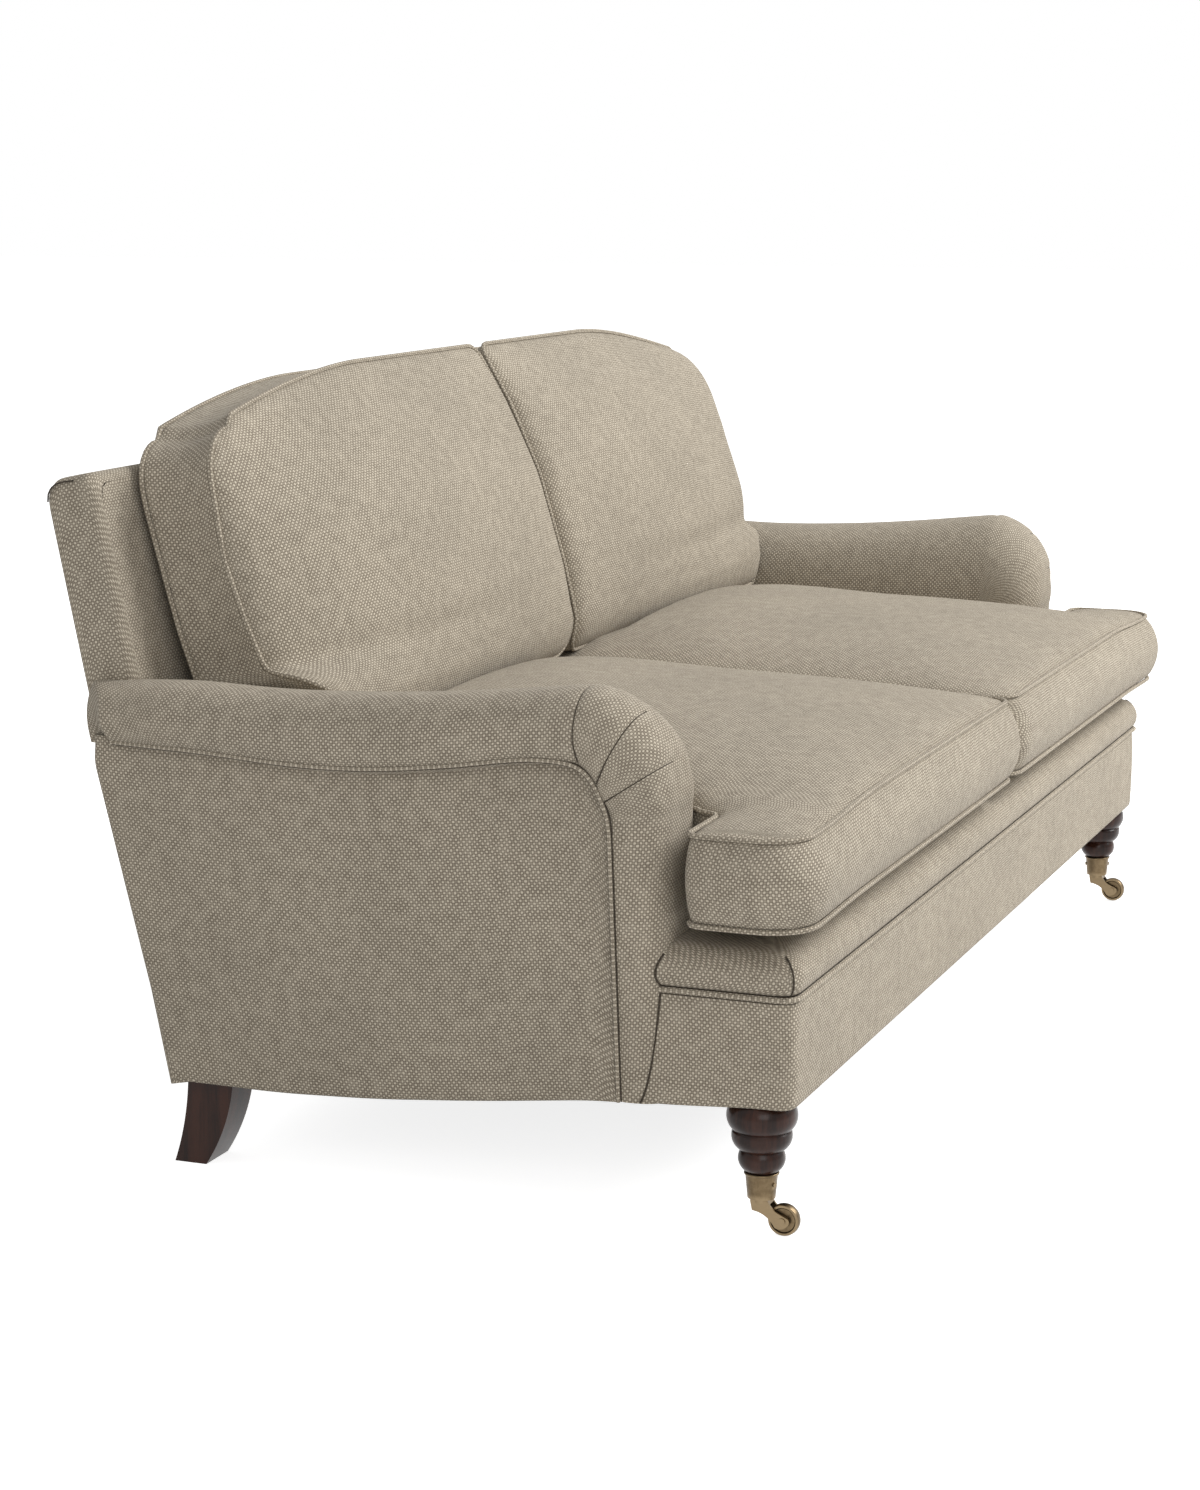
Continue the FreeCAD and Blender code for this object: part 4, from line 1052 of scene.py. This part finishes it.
streak = make.math("ADD", make.span(rings, 0.34, 0.68), flecks, clamp=True)
make.links.new(make.mix(streak, given["Dark"], given["Light"]), end.inputs["Color"])
furrows = make.math("ADD", make.math("MULTIPLY", rings, 0.4), make.math("MULTIPLY", pores, 0.6))
make.links.new(furrows, end.inputs["Height"])


def timber(name, dark, light, scale, rough, coat, relief):
    """Timber with its grain upright in the object's own frame."""
    material, nodes, links, output = new_material(name)
    where = nodes.new("ShaderNodeTexCoord")
    grain = nodes.new("ShaderNodeGroup")
    grain.node_tree = timber_grain
    links.new(where.outputs["Object"], grain.inputs["Place"])
    grain.inputs["Scale"].default_value = scale
    grain.inputs["Dark"].default_value = dark
    grain.inputs["Light"].default_value = light
    shader = NodeMaker(material.node_tree).surface(output, grain.outputs["Color"], rough,
                                                   grain.outputs["Height"], relief, 0.0006)
    shader.inputs["Specular IOR Level"].default_value = 0.16
    shader.inputs["Coat Weight"].default_value = coat
    shader.inputs["Coat Roughness"].default_value = 0.18
    return material


mahogany = timber("mahogany", wood_dark, wood_light, 60.0, 0.30, 0.12, 0.2)
beech_dark = (0.30, 0.17, 0.085, 1)
beech_light = (0.52, 0.34, 0.19, 1)
beech = timber("frame_beech", beech_dark, beech_light, 34.0, 0.75, 0.0, 0.5)


def finish_solids(names, material):
    """Gives CAD pieces that keep their shape their real finish."""
    for name in names:
        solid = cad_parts[name]
        solid.data.materials.clear()
        solid.data.materials.append(material)


sides = ("left", "right")
finish_solids(["front_leg_" + s for s in sides] + ["rear_leg_" + s for s in sides], mahogany)
finish_solids([n + "_" + s for n in ("side_rail", "arm_post", "arm_board", "back_post") for s in sides], beech)
finish_solids(["front_rail", "back_rail", "seat_brace", "corner_blocks", "back_top_rail", "back_lower_rail"], beech)

# Castors: cast brass with an old, browned finish that has rubbed bright on the edges and rims.
brass_old = (0.115, 0.082, 0.046, 1)
brass_bright = (0.215, 0.160, 0.095, 1)
brass, nodes, links, output = new_material("old_brass")
make = NodeMaker(brass.node_tree)
where = nodes.new("ShaderNodeTexCoord")
blotch = make.noise(where.outputs["Object"], 140.0, 4.0, 0.65)
scratch = make.noise(where.outputs["Object"], 900.0, 3.0, 0.7)
edge = nodes.new("ShaderNodeNewGeometry")
worn_edge = make.span(edge.outputs["Pointiness"], 0.50, 0.60)
rubbed = make.math("ADD", worn_edge, make.span(blotch, 0.30, 0.80, 0.0, 0.5), clamp=True)
shader = make.surface(output, make.mix(rubbed, brass_old, brass_bright), make.span(blotch, 0.3, 0.7, 0.40, 0.32),
                      scratch, 0.15, 0.0002)
shader.inputs["Metallic"].default_value = 1.0
castor_names = ["castor_%s_%s" % (n, s) for n in ("cup", "horn", "axle", "wheel") for s in sides]
finish_solids(castor_names + ["castor_cup_pins"], brass)

# Inside the seat: bright drawn steel springs and clips, hessian over them and jute webbing behind.
steel_dark = (0.28, 0.28, 0.29, 1)
steel_light = (0.55, 0.55, 0.56, 1)
steel, nodes, links, output = new_material("drawn_steel")
make = NodeMaker(steel.node_tree)
where = nodes.new("ShaderNodeTexCoord")
cloudy = make.noise(where.outputs["Object"], 60.0, 3.0, 0.6)
shader = make.surface(output, make.mix(cloudy, steel_dark, steel_light), make.span(cloudy, 0.3, 0.7, 0.28, 0.5))
shader.inputs["Metallic"].default_value = 1.0
finish_solids(["leg_bolts", "seat_springs", "spring_clips"], steel)


def plain_weave(name, step, light, dark):
    """A plain weave for cloth that is cut straight from the roll, on the object's own measure."""
    material, nodes, links, output = new_material(name)
    make = NodeMaker(material.node_tree)
    where = nodes.new("ShaderNodeTexCoord")
    parts = nodes.new("ShaderNodeSeparateXYZ")
    links.new(where.outputs["Object"], parts.inputs[0])
    threads = [make.math("SINE", make.math("MULTIPLY", parts.outputs[k], math.pi / step)) for k in range(3)]
    net = make.math("MULTIPLY", threads[0], make.math("ADD", threads[1], threads[2]))
    fuzz = make.noise(where.outputs["Object"], 300.0, 3.0, 0.7)
    uneven = make.math("MULTIPLY", make.math("SUBTRACT", fuzz, 0.5), 0.7)
    thread = make.math("ADD", make.span(net, -1.0, 1.0), uneven, clamp=True)
    make.surface(output, make.mix(thread, dark, light), 0.95, thread, 0.4, step * 0.2)
    return material


jute_light = (0.42, 0.29, 0.15, 1)
jute_dark = (0.19, 0.12, 0.06, 1)
jute = plain_weave("jute", 0.0016, jute_light, jute_dark)
finish_solids(["spring_cloth", "back_webbing"], jute)

# Dust cover: thin black cloth tacked under the rails, sagging a little between them. It steps up
# from the back rail to the front rail, and its corners are cut out round the four legs.
lining_front, lining_rear = -0.205, 0.25
lining_high, lining_low = 0.1490, 0.1110
black_cloth = plain_weave("black_lining", 0.0009, (0.030, 0.029, 0.028, 1), (0.010, 0.010, 0.010, 1))
low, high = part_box("dust_cover")
lining_y = np.concatenate([np.linspace(low.y, lining_front, 8), np.linspace(lining_front, lining_rear, 16)[1:],
                           np.linspace(lining_rear, high.y, 4)[1:]])
lining_x = np.linspace(low.x, high.x, 60)
lining_grid = np.zeros((len(lining_y), len(lining_x), 3))
lining_grid[..., 0] = lining_x[None, :]
lining_grid[..., 1] = lining_y[:, None]
lining_z = np.interp(lining_y, [low.y, lining_front, lining_rear, high.y],
                     [lining_high, lining_high, lining_low, lining_low])
droop_x = np.sin(math.pi * (lining_x - low.x) / (high.x - low.x))
droop_y = np.sin(math.pi * (lining_y - low.y) / (high.y - low.y))
lining_grid[..., 2] = lining_z[:, None] - 0.004 * droop_x[None, :] * droop_y[:, None]
mid_x = np.abs((lining_x[:-1] + lining_x[1:]) / 2)[None, :]
mid_y = ((lining_y[:-1] + lining_y[1:]) / 2)[:, None]
lining_kept = ~(((mid_x > 0.815) & (mid_y < -0.350)) | ((mid_x > 0.803) & (mid_y > lining_rear)))
lining = sew("dust_cover_cloth", [(lining_grid, grid_measure(lining_grid), lining_kept)], black_cloth, smooth=0)
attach(lining, "sofa")
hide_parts("dust_cover")

# The pieces that come straight from the CAD are shaded smooth, with crisp edges kept at their arrises.
arris_angle = 32
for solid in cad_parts.values():
    if not solid.hide_render:
        solid.data.shade_smooth()
        solid.data.set_sharp_from_angle(angle=math.radians(arris_angle))
